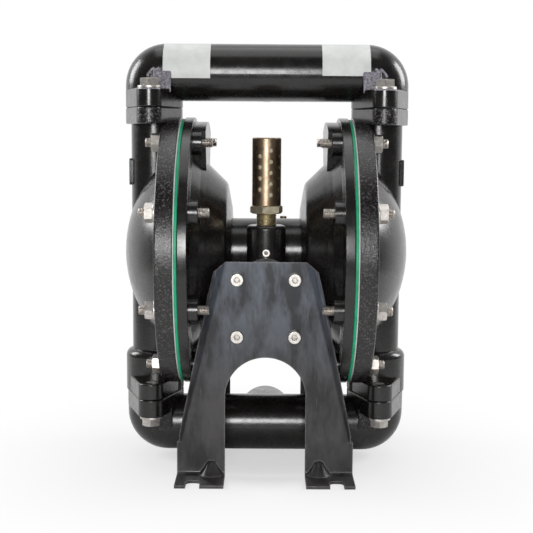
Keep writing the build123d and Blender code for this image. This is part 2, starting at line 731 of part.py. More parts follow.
for port, face_z in (("outlet", JOINT_Z), ("inlet", -JOINT_Z)):
    with BuildPart() as valve_seats:
        add(seat_pair(face_z))
    finish(valve_seats, f"{port}_seats")
    with BuildPart() as seat_rings:
        add(seat_ring_pair(face_z))
    finish(seat_rings, f"{port}_seat_rings")
    for side, sign in (("left", -1), ("right", 1)):
        with BuildPart() as ball:
            with Locations((sign * LEG_X, 0, AXIS_Z + face_z + BALL_RISE)):
                Sphere(BALL_R)
        finish(ball, f"{port}_ball_{side}")

# Centre body: a round barrel for the rod with square pads for the two valve blocks.
block_height = BLOCK_TOP - BLOCK_BOTTOM
with BuildPart() as centre_body:
    with BuildSketch(across(-HUB_X)):
        Circle(CENTRE_R)
    extrude(amount=2 * HUB_X)
    with BuildSketch(level(BLOCK_BOTTOM)):
        RectangleRounded(2 * HUB_X, 2 * PAD_Y, radius=2)
    extrude(amount=block_height)
    with BuildSketch(across(-HUB_X)):
        Circle(ROD_R + BOLT_CLEARANCE)
        with Locations((PILOT_Y, 0)):
            Circle(PILOT_R + BOLT_CLEARANCE)
    extrude(amount=2 * HUB_X, mode=Mode.SUBTRACT)
    for sign in (-1, 1):
        # Pockets for the rod bushings and pilot bushings, tapped holes and air ports.
        with BuildSketch(across(sign * HUB_X)):
            Circle(ROD_BUSH_R + SEAT_CLEARANCE)
        extrude(amount=-sign * ROD_BUSH_LENGTH, mode=Mode.SUBTRACT)
        with BuildSketch(across(sign * HUB_X)):
            with Locations((PILOT_Y, 0)):
                Circle(PILOT_BUSH_R + SEAT_CLEARANCE)
        extrude(amount=-sign * (ROD_BUSH_LENGTH - HUB_WALL), mode=Mode.SUBTRACT)
        with BuildSketch(across(sign * HUB_X)):
            with PolarLocations(CAP_SCREW_CIRCLE_R, 4, start_angle=45):
                Circle(CAP_SCREW_R + THREAD_CLEARANCE)
        extrude(amount=-sign * CAP_SCREW_DEPTH, mode=Mode.SUBTRACT)
        with BuildSketch(across(sign * HUB_X)):
            with Locations((-AIR_PORT_Y, AIR_PORT_Z)):
                Circle(AIR_PORT_R)
        extrude(amount=-sign * (HUB_X - AIR_PORT_X + AIR_PORT_R), mode=Mode.SUBTRACT)
        with BuildSketch(upright(sign * PAD_Y)):
            with Locations(*SCREW_POINTS):
                Circle(CAP_SCREW_R + THREAD_CLEARANCE)
        extrude(amount=sign * SCREW_GRIP, mode=Mode.SUBTRACT)
    with BuildSketch(upright(-PAD_Y)):
        with Locations((-AIR_PORT_X, AIR_PORT_Z), (AIR_PORT_X, AIR_PORT_Z)):
            Circle(AIR_PORT_R)
    extrude(amount=-(PAD_Y - AIR_PORT_Y), mode=Mode.SUBTRACT)
    with BuildSketch(upright(-PAD_Y)):
        with Locations((0, SUPPLY_Z)):
            Circle(AIR_PORT_R)
    extrude(amount=-2 * PAD_Y, mode=Mode.SUBTRACT)
finish(centre_body, "centre_body")

# Gaskets between the centre body and the valve blocks.
with BuildPart() as main_valve_gasket:
    with BuildSketch(upright(-PAD_Y)):
        with Locations((0, (BLOCK_TOP + BLOCK_BOTTOM) / 2)):
            Rectangle(2 * HUB_X - 2, block_height)
        with Locations(*SCREW_POINTS):
            Circle(CAP_SCREW_R + BOLT_CLEARANCE, mode=Mode.SUBTRACT)
        with Locations((-AIR_PORT_X, AIR_PORT_Z), (AIR_PORT_X, AIR_PORT_Z), (0, SUPPLY_Z)):
            Circle(AIR_PORT_R, mode=Mode.SUBTRACT)
    extrude(amount=GASKET_T)
finish(main_valve_gasket, "main_valve_gasket")

with BuildPart() as pilot_gasket:
    with BuildSketch(upright(PAD_Y)):
        with Locations((0, (BLOCK_TOP + BLOCK_BOTTOM) / 2)):
            Rectangle(2 * HUB_X - 2, block_height)
        with Locations(*SCREW_POINTS):
            Circle(CAP_SCREW_R + BOLT_CLEARANCE, mode=Mode.SUBTRACT)
        with Locations((0, SUPPLY_Z)):
            Circle(AIR_PORT_R, mode=Mode.SUBTRACT)
    extrude(amount=-GASKET_T)
finish(pilot_gasket, "pilot_gasket")

# Main valve body in front: spool bore, round cover boss and the upright exhaust boss.
block_depth = BRACKET_Y - BLOCK_FACE_Y
spool_half = BLOCK_HALF_X - END_RING_T - END_PLUG_T - RUNNING_CLEARANCE
with BuildPart() as main_valve_body:
    with BuildSketch(level(BLOCK_BOTTOM)):
        with Locations((0, -(BLOCK_FACE_Y + BRACKET_Y) / 2)):
            RectangleRounded(2 * BLOCK_HALF_X, block_depth, radius=4)
    extrude(amount=block_height)
    with BuildSketch(upright(-BRACKET_Y)):
        with Locations((0, COVER_Z)):
            Circle(COVER_R)
    extrude(amount=-block_depth / 2)
    with BuildSketch(level(BLOCK_TOP)):
        with Locations((0, -EXHAUST_Y)):
            Circle(EXHAUST_BOSS_R)
    extrude(amount=EXHAUST_BOSS_TOP - BLOCK_TOP)
    fillet(edges().group_by(Axis.Z)[-1], radius=EXHAUST_BOSS_ROUND)
    # Spool bore with wider ends for the plugs.
    with BuildSketch(across(-BLOCK_HALF_X)):
        with Locations((-SPOOL_Y, SPOOL_Z)):
            Circle(SPOOL_BORE_R)
    extrude(amount=2 * BLOCK_HALF_X, mode=Mode.SUBTRACT)
    for sign in (-1, 1):
        with BuildSketch(across(sign * BLOCK_HALF_X)):
            with Locations((-SPOOL_Y, SPOOL_Z)):
                Circle(END_PLUG_R + SEAT_CLEARANCE)
        extrude(amount=-sign * (BLOCK_HALF_X - spool_half), mode=Mode.SUBTRACT)
    # Exhaust thread and the passage down to the spool.
    with BuildSketch(level(EXHAUST_BOSS_TOP)):
        with Locations((0, -EXHAUST_Y)):
            Circle(EXHAUST_THREAD_R + THREAD_CLEARANCE)
    extrude(amount=-EXHAUST_THREAD_DEPTH, mode=Mode.SUBTRACT)
    with BuildSketch(level(EXHAUST_BOSS_TOP)):
        with Locations((0, -EXHAUST_Y)):
            Circle(EXHAUST_PASSAGE_R)
    extrude(amount=SPOOL_Z - EXHAUST_BOSS_TOP, mode=Mode.SUBTRACT)
    # Screw holes right through, ports to the centre body and the small plug's hole.
    with BuildSketch(upright(-BRACKET_Y)):
        with Locations(*SCREW_POINTS):
            Circle(CAP_SCREW_R + BOLT_CLEARANCE)
    extrude(amount=-block_depth, mode=Mode.SUBTRACT)
    with BuildSketch(upright(-BLOCK_FACE_Y)):
        with Locations((-AIR_PORT_X, AIR_PORT_Z), (AIR_PORT_X, AIR_PORT_Z)):
            Circle(AIR_PORT_R)
    extrude(amount=SPOOL_Y - BLOCK_FACE_Y, mode=Mode.SUBTRACT)
    with BuildSketch(upright(-BLOCK_FACE_Y)):
        with Locations((0, SUPPLY_Z)):
            Circle(AIR_PORT_R)
    extrude(amount=SPOOL_Y - BLOCK_FACE_Y, mode=Mode.SUBTRACT)
    with BuildSketch(upright(-EXHAUST_Y - EXHAUST_BOSS_R)):
        with Locations((0, PLUG_Z)):
            Circle(PLUG_R + THREAD_CLEARANCE)
    extrude(amount=-PLUG_LENGTH, mode=Mode.SUBTRACT)
finish(main_valve_body, "main_valve_body")

# Pilot valve block behind, with the air inlet and a small vent boss on top.
with BuildPart() as pilot_valve_block:
    with BuildSketch(level(BLOCK_BOTTOM)):
        with Locations((0, (BLOCK_FACE_Y + BRACKET_Y) / 2)):
            RectangleRounded(2 * BLOCK_HALF_X, block_depth, radius=4)
    extrude(amount=block_height)
    with BuildSketch(level(BLOCK_TOP)):
        with Locations((INLET_BOSS_X, EXHAUST_Y)):
            Circle(INLET_BOSS_R)
    extrude(amount=INLET_BOSS_TOP - BLOCK_TOP)
    with BuildSketch(level(BLOCK_TOP)):
        with Locations((VENT_X, EXHAUST_Y)):
            Circle(2 * PLUG_R)
    extrude(amount=VENT_TOP - BLOCK_TOP)
    with BuildSketch(level(INLET_BOSS_TOP)):
        with Locations((INLET_BOSS_X, EXHAUST_Y)):
            Circle(INLET_THREAD_R)
    extrude(amount=-INLET_THREAD_DEPTH, mode=Mode.SUBTRACT)
    with BuildSketch(level(INLET_BOSS_TOP)):
        with Locations((INLET_BOSS_X, EXHAUST_Y)):
            Circle(INLET_PASSAGE_R)
    extrude(amount=SUPPLY_Z - INLET_BOSS_TOP - AIR_PORT_R, mode=Mode.SUBTRACT)
    with BuildSketch(level(VENT_TOP)):
        with Locations((VENT_X, EXHAUST_Y)):
            Circle(PLUG_R + THREAD_CLEARANCE)
    extrude(amount=-PLUG_LENGTH, mode=Mode.SUBTRACT)
    with BuildSketch(upright(BRACKET_Y)):
        with Locations(*SCREW_POINTS):
            Circle(CAP_SCREW_R + BOLT_CLEARANCE)
    extrude(amount=block_depth, mode=Mode.SUBTRACT)
    with BuildSketch(upright(BLOCK_FACE_Y)):
        with Locations((0, SUPPLY_Z)):
            Circle(AIR_PORT_R)
    extrude(amount=BLOCK_FACE_Y - EXHAUST_Y, mode=Mode.SUBTRACT)
finish(pilot_valve_block, "pilot_valve_block")

# Socket plugs in the exhaust boss and the vent boss.
with BuildPart() as exhaust_plug:
    with BuildSketch(upright(-EXHAUST_Y - EXHAUST_BOSS_R - 1)):
        with Locations((0, PLUG_Z)):
            Circle(PLUG_R)
    extrude(amount=-PLUG_LENGTH)
    with BuildSketch(upright(-EXHAUST_Y - EXHAUST_BOSS_R - 1)):
        with Locations((0, PLUG_Z)):
            RegularPolygon(PLUG_SOCKET * HEX_TO_RADIUS, 6)
    extrude(amount=-PLUG_R, mode=Mode.SUBTRACT)
finish(exhaust_plug, "exhaust_plug")

with BuildPart() as vent_plug:
    with BuildSketch(level(VENT_TOP + VENT_PLUG_OUT)):
        with Locations((VENT_X, EXHAUST_Y)):
            Circle(PLUG_R)
    extrude(amount=-PLUG_LENGTH)
    with BuildSketch(level(VENT_TOP + VENT_PLUG_OUT)):
        with Locations((VENT_X, EXHAUST_Y)):
            RegularPolygon(PLUG_SOCKET * HEX_TO_RADIUS, 6)
    extrude(amount=-PLUG_R, mode=Mode.SUBTRACT)
finish(vent_plug, "vent_plug")

# Spool with three lands, end plugs and retaining rings of the main valve.
spool_length = spool_half - SPOOL_TRAVEL - BODY_GAP
land = spool_length / 4
with BuildPart() as valve_spool:
    with BuildSketch(across(-spool_length)):
        with Locations((-SPOOL_Y, SPOOL_Z)):
            Circle(SPOOL_NECK_R)
    extrude(amount=2 * spool_length)
    for middle in (land / 2 - spool_length, 0, spool_length - land / 2):
        with BuildSketch(across(middle - land / 2)):
            with Locations((-SPOOL_Y, SPOOL_Z)):
                Circle(SPOOL_BORE_R - RUNNING_CLEARANCE)
        extrude(amount=land)
finish(valve_spool, "valve_spool")

with BuildPart() as valve_end_plugs:
    with BuildSketch(across(spool_half)):
        with Locations((-SPOOL_Y, SPOOL_Z)):
            Circle(END_PLUG_R)
    extrude(amount=END_PLUG_T)
    mirror(about=CENTRE_PLANE)
finish(valve_end_plugs, "valve_end_plugs")

with BuildPart() as valve_end_rings:
    with BuildSketch(across(spool_half + END_PLUG_T)):
        with Locations((-SPOOL_Y, SPOOL_Z)):
            Circle(END_PLUG_R)
            Circle(END_PLUG_R - 3, mode=Mode.SUBTRACT)
            with Locations((0, END_PLUG_R)):
                Rectangle(8, END_PLUG_R, mode=Mode.SUBTRACT)
    extrude(amount=END_RING_T)
    mirror(about=CENTRE_PLANE)
finish(valve_end_rings, "valve_end_rings")

# Rod bushings, rod seals and pilot bushings, one of each at either end.
with BuildPart() as rod_bushings:
    with BuildSketch(across(HUB_X)):
        Circle(ROD_BUSH_R)
        Circle(ROD_R + RUNNING_CLEARANCE, mode=Mode.SUBTRACT)
    extrude(amount=-ROD_BUSH_LENGTH)
    mirror(about=CENTRE_PLANE)
finish(rod_bushings, "rod_bushings")

with BuildPart() as rod_seals:
    with BuildSketch(across(HUB_X + HUB_WALL / 4)):
        Circle(ROD_SEAL_R)
        Circle(ROD_R + 2 * RUNNING_CLEARANCE, mode=Mode.SUBTRACT)
    extrude(amount=3 * HUB_WALL / 4)
    mirror(about=CENTRE_PLANE)
finish(rod_seals, "rod_seals")

with BuildPart() as pilot_bushings:
    with BuildSketch(across(HUB_X + HUB_WALL)):
        with Locations((PILOT_Y, 0)):
            Circle(PILOT_BUSH_R)
            Circle(PILOT_R + RUNNING_CLEARANCE, mode=Mode.SUBTRACT)
    extrude(amount=-ROD_BUSH_LENGTH)
    mirror(about=CENTRE_PLANE)
finish(pilot_bushings, "pilot_bushings")

# Screws that hold the air caps to the centre body, with their heads inside the air chambers.
with BuildPart() as air_cap_screws:
    with BuildSketch(across(HUB_X + HUB_WALL)):
        with PolarLocations(CAP_SCREW_CIRCLE_R, 4, start_angle=45):
            Circle(CAP_SCREW_HEAD_R)
    extrude(amount=CAP_SCREW_HEAD_T)
    with BuildSketch(across(HUB_X + HUB_WALL)):
        with PolarLocations(CAP_SCREW_CIRCLE_R, 4, start_angle=45):
            Circle(CAP_SCREW_R)
    extrude(amount=-HUB_WALL - CAP_SCREW_DEPTH + 1)
    with BuildSketch(across(HUB_X + HUB_WALL + CAP_SCREW_HEAD_T)):
        with PolarLocations(CAP_SCREW_CIRCLE_R, 4, start_angle=45):
            RegularPolygon(CAP_SCREW_SOCKET * HEX_TO_RADIUS, 6)
    extrude(amount=-CAP_SCREW_HEAD_T / 2, mode=Mode.SUBTRACT)
    mirror(about=CENTRE_PLANE)
finish(air_cap_screws, "air_cap_screws")

# Pilot rod, pushed by the inner plates at either end of the stroke.
pilot_half = PLATE_X - STROKE + PILOT_TRAVEL - BODY_GAP
with BuildPart() as pilot_rod:
    with BuildSketch(across(-pilot_half)):
        with Locations((PILOT_Y, 0)):
            Circle(PILOT_R)
    extrude(amount=2 * pilot_half)
    chamfer(edges().group_by(Axis.X)[0] + edges().group_by(Axis.X)[-1], length=0.8)
finish(pilot_rod, "pilot_rod")

# Diaphragm rod with tapped ends.
with BuildPart() as diaphragm_rod:
    with BuildSketch(across(-PLATE_X)):
        Circle(ROD_R)
    extrude(amount=2 * PLATE_X)
    for sign in (-1, 1):
        with BuildSketch(across(sign * PLATE_X)):
            Circle(PLATE_SCREW_R + THREAD_CLEARANCE)
        extrude(amount=-sign * PLATE_SCREW_LENGTH, mode=Mode.SUBTRACT)
finish(diaphragm_rod, "diaphragm_rod")

# Inner plate on the air side and outer plate on the fluid side of each diaphragm.
with BuildPart() as inner_plate_right:
    with BuildSketch(upright(0)):
        with BuildLine():
            FilletPolyline(
                (PLATE_X, PLATE_SCREW_R + SEAT_CLEARANCE),
                (PLATE_X, PLATE_R / 2),
                (PLATE_X + PLATE_T / 3, PLATE_R),
                (AIR_FACE_X, PLATE_R),
                (AIR_FACE_X, PLATE_SCREW_R + SEAT_CLEARANCE),
                radius=[6, 2, 2],
            )
            Line(
                (AIR_FACE_X, PLATE_SCREW_R + SEAT_CLEARANCE),
                (PLATE_X, PLATE_SCREW_R + SEAT_CLEARANCE),
            )
        make_face()
    revolve(axis=PUMP_AXIS)
with BuildPart() as inner_plate_left:
    mirror(inner_plate_right.part, about=CENTRE_PLANE)
finish_pair(inner_plate_right, inner_plate_left, "inner_plate")

outer_plate_x = FLUID_FACE_X + OUTER_PLATE_T
with BuildPart() as outer_plate_right:
    with BuildSketch(upright(0)):
        with BuildLine():
            FilletPolyline(
                (outer_plate_x, PLATE_SCREW_R + SEAT_CLEARANCE),
                (outer_plate_x, PLATE_R / 3),
                (FLUID_FACE_X + OUTER_PLATE_T / 2, PLATE_R),
                (FLUID_FACE_X, PLATE_R),
                (FLUID_FACE_X, PLATE_SCREW_R + SEAT_CLEARANCE),
                radius=[6, 2, 2],
            )
            Line(
                (FLUID_FACE_X, PLATE_SCREW_R + SEAT_CLEARANCE),
                (outer_plate_x, PLATE_SCREW_R + SEAT_CLEARANCE),
            )
        make_face()
    revolve(axis=PUMP_AXIS)
with BuildPart() as outer_plate_left:
    mirror(outer_plate_right.part, about=CENTRE_PLANE)
finish_pair(outer_plate_right, outer_plate_left, "outer_plate")

with BuildPart() as plate_screws:
    with BuildSketch(across(outer_plate_x)):
        RegularPolygon(PLATE_SCREW_FLATS * HEX_TO_RADIUS, 6)
    extrude(amount=PLATE_SCREW_HEAD_T)
    with BuildSketch(across(outer_plate_x)):
        Circle(PLATE_SCREW_R)
    extrude(amount=PLATE_X - outer_plate_x - PLATE_SCREW_LENGTH + 2)
    mirror(about=CENTRE_PLANE)
finish(plate_screws, "plate_screws")

# Exhaust silencer: threaded fitting, porous sleeve and drilled shell.
shell_bottom = SILENCER_HEX_Z + SILENCER_HEX_T
sleeve_r = SILENCER_R - SILENCER_WALL - SEAT_CLEARANCE
with BuildPart() as silencer_fitting:
    with BuildSketch(level(EXHAUST_BOSS_TOP - EXHAUST_THREAD_DEPTH + 1)):
        with Locations((0, -EXHAUST_Y)):
            Circle(EXHAUST_THREAD_R)
    extrude(amount=SILENCER_HEX_Z - EXHAUST_BOSS_TOP + EXHAUST_THREAD_DEPTH - 1)
    with BuildSketch(level(SILENCER_HEX_Z)):
        with Locations((0, -EXHAUST_Y)):
            RegularPolygon(SILENCER_HEX_FLATS * HEX_TO_RADIUS, 6, rotation=SILENCER_HEX_TURN)
    extrude(amount=SILENCER_HEX_T)
    with BuildSketch(level(shell_bottom)):
        with Locations((0, -EXHAUST_Y)):
            Circle(sleeve_r)
    extrude(amount=SILENCER_HEX_T)
    with BuildSketch(level(shell_bottom + SILENCER_HEX_T)):
        with Locations((0, -EXHAUST_Y)):
            Circle(EXHAUST_PASSAGE_R)
    extrude(amount=-(shell_bottom + SILENCER_HEX_T), mode=Mode.SUBTRACT)
finish(silencer_fitting, "silencer_fitting")

with BuildPart() as silencer_sleeve:
    with BuildSketch(level(shell_bottom + SILENCER_HEX_T)):
        with Locations((0, -EXHAUST_Y)):
            Circle(sleeve_r)
            Circle(EXHAUST_PASSAGE_R, mode=Mode.SUBTRACT)
    extrude(amount=SILENCER_LENGTH - SILENCER_HEX_T - SILENCER_WALL)
finish(silencer_sleeve, "silencer_sleeve")

with BuildPart() as silencer_shell:
    with BuildSketch(level(shell_bottom)):
        with Locations((0, -EXHAUST_Y)):
            Circle(SILENCER_R)
    extrude(amount=SILENCER_LENGTH)
    chamfer(edges().group_by(Axis.Z)[-1], length=1.5)
    with BuildSketch(level(shell_bottom)):
        with Locations((0, -EXHAUST_Y)):
            Circle(SILENCER_R - SILENCER_WALL)
    extrude(amount=SILENCER_LENGTH - SILENCER_WALL, mode=Mode.SUBTRACT)
    for column in range(SILENCER_COLUMNS):
        turn = radians(SILENCER_COLUMN_ANGLE + column * 360 / SILENCER_COLUMNS)
        outward = Vector(sin(turn), -cos(turn), 0)
        rows = 5 - column % 2
        first = SILENCER_FIRST_HOLE_Z + (column % 2) * SILENCER_PITCH / 2
        middle = AXIS_Z + first + (rows - 1) * SILENCER_PITCH / 2
        wall_plane = Plane(
            origin=Vector(0, -EXHAUST_Y, middle) + outward * (SILENCER_R + 1),
            x_dir=(cos(turn), sin(turn), 0),
            z_dir=outward,
        )
        with BuildSketch(wall_plane):
            with GridLocations(0, SILENCER_PITCH, 1, rows):
                Circle(SILENCER_HOLE_R)
        extrude(amount=-2 * SILENCER_WALL, mode=Mode.SUBTRACT)
finish(silencer_shell, "silencer_shell")

# Foot bracket: a face plate with an arch, two wings folded forward and two notched feet.
bend_start = Vector(BRACKET_TOP_HALF, -BRACKET_Y - SHEET, BRACKET_TOP_Z)
bend_end = Vector(BEND_END_HALF, -BRACKET_Y - SHEET, BEND_END_Z)
bend_way = (bend_end - bend_start).normalized()
overrun = 4 * WING_FORWARD
with BuildPart() as bracket_half:
    # Wing folded forward along the slanted edge.
    bend_plane = Plane(
        origin=bend_start - bend_way * overrun, x_dir=(-bend_way.Z, 0, bend_way.X), z_dir=bend_way
    )
    with BuildSketch(bend_plane):
        with BuildLine():
            FilletPolyline((-2 * BEND_R, 0), (0, 0), (WING_OUT, WING_FORWARD), radius=BEND_R)
            offset(amount=SHEET, side=Side.RIGHT, closed=True)
        make_face()
    extrude(amount=(bend_end - bend_start).length + 2 * overrun)
    # Wing outline: a slanted top corner, a width that tapers downwards and a level bottom.
    with BuildSketch(Plane.XZ):
        with BuildLine():
            Polyline(
                (0, bend_start.Z),
                (bend_start.X, bend_start.Z),
                (bend_start.X + 1.3 * WING_WIDTH_TOP, bend_start.Z - WING_WIDTH_TOP),
                (bend_end.X + WING_WIDTH_LOW, bend_end.Z),
                (bend_end.X + WING_WIDTH_LOW, LEG_TOP_Z),
                (2 * LEG_HALF, LEG_TOP_Z),
                (2 * LEG_HALF, 2 * AXIS_Z),
                (0, 2 * AXIS_Z),
                close=True,
            )
        make_face()
        with Locations((bend_end.X, LEG_TOP_Z)):
            Rectangle(2 * overrun, 2 * overrun, align=(Align.CENTER, Align.MAX))
    extrude(amount=2 * BRACKET_Y, both=True, mode=Mode.SUBTRACT)
    # Face plate.
    with BuildSketch(Plane.XZ.offset(BRACKET_Y)):
        with BuildLine():
            Polyline(
                (0, bend_start.Z),
                (bend_start.X - BEND_R, bend_start.Z),
                (bend_end.X - BEND_R, bend_end.Z),
                (LEG_HALF, LEG_TOP_Z),
                (LEG_HALF, BEND_R + SHEET),
                (0, BEND_R + SHEET),
                close=True,
            )
        make_face()
        with Locations((0, ARCH_CENTRE_Z)):
            Circle(ARCH_R, mode=Mode.SUBTRACT)
            Rectangle(
                2 * ARCH_R,
                2 * AXIS_Z,
                align=(Align.CENTER, Align.MAX),
                mode=Mode.SUBTRACT,
            )
        with Locations(*[(x, AXIS_Z + z) for x, z in SCREW_POINTS if x > 0]):
            Circle(CAP_SCREW_R + BOLT_CLEARANCE, mode=Mode.SUBTRACT)
    extrude(amount=SHEET)
    # Foot, bent outwards from the plate.
    with BuildSketch(Plane(origin=(ARCH_R, 0, 0), x_dir=(0, 1, 0), z_dir=(1, 0, 0))):
        with BuildLine():
            FilletPolyline(
                (-BRACKET_Y, BEND_R + SHEET),
                (-BRACKET_Y, 0),
                (-FOOT_FRONT_Y, 0),
                radius=BEND_R + SHEET - 0.01,
            )
            offset(amount=SHEET, side=Side.RIGHT, closed=True)
        make_face()
    extrude(amount=LEG_HALF - ARCH_R)
    with BuildSketch(Plane.XY):
        with Locations((NOTCH_X, -FOOT_FRONT_Y)):
            RectangleRounded(NOTCH_W, 2 * NOTCH_DEPTH, radius=NOTCH_CORNER_R)
    extrude(amount=2 * SHEET, mode=Mode.SUBTRACT)
    # Stiffening dart pressed across the bend, hollow behind.
    with BuildSketch(
        Plane(origin=(DART_X - DART_W / 2, 0, 0), x_dir=(0, 1, 0), z_dir=(1, 0, 0))
    ):
        with BuildLine():
            Polyline(
                (-BRACKET_Y - SHEET + 1, 1),
                (-BRACKET_Y - SHEET + 1, SHEET + DART_SIZE),
                (-BRACKET_Y - SHEET - DART_SIZE, 1),
                close=True,
            )
        make_face()
    extrude(amount=DART_W)
with BuildPart() as front_bracket:
    add(bracket_half.part)
    # Room for the inner ends of the studs.
    with BuildSketch(across(STUD_TIP_X - BOLT_CLEARANCE)):
        with PolarLocations(STUD_CIRCLE_R, STUD_COUNT, start_angle=180 / STUD_COUNT):
            Circle(STUD_R + BOLT_CLEARANCE)
    extrude(amount=AIR_FLANGE_X - STUD_TIP_X, mode=Mode.SUBTRACT)
    mirror(about=CENTRE_PLANE)
finish(front_bracket, "front_bracket")

with BuildPart() as rear_bracket:
    mirror(front_bracket.part, about=FRONT_PLANE)
finish(rear_bracket, "rear_bracket")

# Cap screws that clamp each bracket and valve block to the centre body.
screw_length = BRACKET_Y + SHEET - PAD_Y + SCREW_GRIP - 1
with BuildPart() as front_bracket_screws:
    with BuildSketch(upright(-BRACKET_Y - SHEET)):
        with Locations(*SCREW_POINTS):
            Circle(CAP_SCREW_HEAD_R)
    extrude(amount=CAP_SCREW_HEAD_T)
    chamfer(edges().group_by(Axis.Y)[0], length=0.6)
    with BuildSketch(upright(-BRACKET_Y - SHEET)):
        with Locations(*SCREW_POINTS):
            Circle(CAP_SCREW_R)
    extrude(amount=-screw_length)
    with BuildSketch(upright(-BRACKET_Y - SHEET - CAP_SCREW_HEAD_T)):
        with Locations(*SCREW_POINTS):
            RegularPolygon(CAP_SCREW_SOCKET * HEX_TO_RADIUS, 6, rotation=30)
    extrude(amount=-CAP_SCREW_HEAD_T / 2, mode=Mode.SUBTRACT)
finish(front_bracket_screws, "front_bracket_screws")

with BuildPart() as rear_bracket_screws:
    mirror(front_bracket_screws.part, about=FRONT_PLANE)
finish(rear_bracket_screws, "rear_bracket_screws")
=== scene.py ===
# %% [markdown]
# This lesson gives an air operated diaphragm pump its looks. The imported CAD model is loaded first, and
# it never moves. Each piece that shows is then modelled again with edit-mode tools, in the same place
# as its CAD node, with the rounded edges, threads and cast skin that the solid model leaves out.

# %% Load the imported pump
import json
from math import acos, asin, atan2, cos, pi, radians, sin, sqrt, tan

import bpy
from mathutils import Matrix, Vector
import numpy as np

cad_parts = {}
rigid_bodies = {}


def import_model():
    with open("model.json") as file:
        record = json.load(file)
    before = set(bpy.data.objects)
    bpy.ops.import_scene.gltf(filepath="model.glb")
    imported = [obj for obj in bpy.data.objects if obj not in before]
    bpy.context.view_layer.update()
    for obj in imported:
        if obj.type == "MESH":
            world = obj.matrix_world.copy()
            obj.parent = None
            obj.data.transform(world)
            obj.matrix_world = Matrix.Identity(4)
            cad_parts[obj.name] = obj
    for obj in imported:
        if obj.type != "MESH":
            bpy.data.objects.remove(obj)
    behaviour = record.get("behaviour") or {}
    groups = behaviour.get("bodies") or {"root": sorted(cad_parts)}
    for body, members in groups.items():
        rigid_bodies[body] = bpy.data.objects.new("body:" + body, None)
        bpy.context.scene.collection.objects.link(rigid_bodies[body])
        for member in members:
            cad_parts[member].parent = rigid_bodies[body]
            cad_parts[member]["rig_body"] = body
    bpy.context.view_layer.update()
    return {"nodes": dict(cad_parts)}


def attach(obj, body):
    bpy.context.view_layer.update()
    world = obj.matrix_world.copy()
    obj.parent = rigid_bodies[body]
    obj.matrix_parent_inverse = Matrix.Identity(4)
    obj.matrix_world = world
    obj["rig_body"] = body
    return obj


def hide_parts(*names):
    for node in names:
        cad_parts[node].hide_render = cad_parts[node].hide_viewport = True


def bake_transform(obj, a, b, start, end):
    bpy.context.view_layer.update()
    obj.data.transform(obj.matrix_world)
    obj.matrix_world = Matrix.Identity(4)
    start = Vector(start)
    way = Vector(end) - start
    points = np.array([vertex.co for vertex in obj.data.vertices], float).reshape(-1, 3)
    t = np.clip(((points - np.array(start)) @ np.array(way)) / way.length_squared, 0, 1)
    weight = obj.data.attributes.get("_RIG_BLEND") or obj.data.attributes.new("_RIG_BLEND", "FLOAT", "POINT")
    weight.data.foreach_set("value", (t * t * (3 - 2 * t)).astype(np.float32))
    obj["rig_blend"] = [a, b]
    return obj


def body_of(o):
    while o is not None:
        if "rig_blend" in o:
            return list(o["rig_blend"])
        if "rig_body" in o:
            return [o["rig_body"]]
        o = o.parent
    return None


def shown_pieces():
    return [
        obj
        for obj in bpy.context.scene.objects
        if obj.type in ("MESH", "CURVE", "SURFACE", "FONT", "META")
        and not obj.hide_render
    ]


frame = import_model()

# %% [markdown]
# Blender works in metres, so a name for a millimetre keeps the sizes readable. The pump's axis runs
# along X, 225 mm above the floor, and most heights are measured from it. The pump is the same on the
# left as on the right, and nearly the same upside down, so each casting is modelled once.

# %% Shared sizes
mm = 0.001
AXIS_Z = 225 * mm
RIM_R = 141.5 * mm
JOINT_Z = 151 * mm
TUBE_Z = 188.5 * mm
TUBE_R = 30 * mm
BORE_R = 22 * mm
LEG_X = 119.5 * mm
LUG_Y = 50 * mm
LUG_R = 14 * mm
TOP_FLANGE = 19 * mm
CAP_FLANGE = 17 * mm
AIR_FACE_X = 85.5 * mm
FLUID_FACE_X = 89.7 * mm
CAP_FLANGE_X = 107.7 * mm
STUD_CIRCLE_R = 124.5 * mm
STUD_HOLE_R = 5.5 * mm
SEAT_POCKET_R = 26.1 * mm
SEAT_POCKET_DEPTH = 10.6 * mm
BALL_CAGE_R = 24.5 * mm
STUD_ANGLES = [radians(22.5 + 45 * k) for k in range(8)]
SIDES = {"right": 1, "left": -1}
ROOT = "pump_body"
MIRROR_X = Matrix.Scale(-1, 4, (1, 0, 0))
MIRROR_Y = Matrix.Scale(-1, 4, (0, 1, 0))
TO_AXIS = Matrix.Translation((0, 0, AXIS_Z))
TURN_OVER = TO_AXIS @ Matrix.Scale(-1, 4, (0, 0, 1)) @ TO_AXIS.inverted()
X_WAY, Y_WAY, Z_WAY = Vector((1, 0, 0)), Vector((0, 1, 0)), Vector((0, 0, 1))


def at(x, y, z):
    """A point whose height is measured from the pump's axis."""
    return Vector((x, y, AXIS_Z + z))


print("upper joint at", round((AXIS_Z + JOINT_Z) / mm), "mm, top of the tube at",
      round((AXIS_Z + TUBE_Z + TUBE_R) / mm), "mm")

# %% [markdown]
# Edit-mode tools act on whatever is selected, and loading leaves every node selected. These short
# helpers keep the selection clean, apply modifiers, and join, cut and copy pieces.

# %% Selecting, applying and joining
def pick(*objects):
    """Leaves only these objects selected, with the last one active."""
    if bpy.context.object and bpy.context.object.mode != "OBJECT":
        bpy.ops.object.mode_set(mode="OBJECT")
    bpy.ops.object.select_all(action="DESELECT")
    for one in objects:
        one.select_set(True)
    bpy.context.view_layer.objects.active = objects[-1]


def edit_all(piece):
    """Opens one piece in edit mode with its whole mesh selected."""
    pick(piece)
    bpy.ops.object.mode_set(mode="EDIT")
    bpy.ops.mesh.select_all(action="SELECT")


def leave():
    """Goes back to object mode."""
    bpy.ops.object.mode_set(mode="OBJECT")


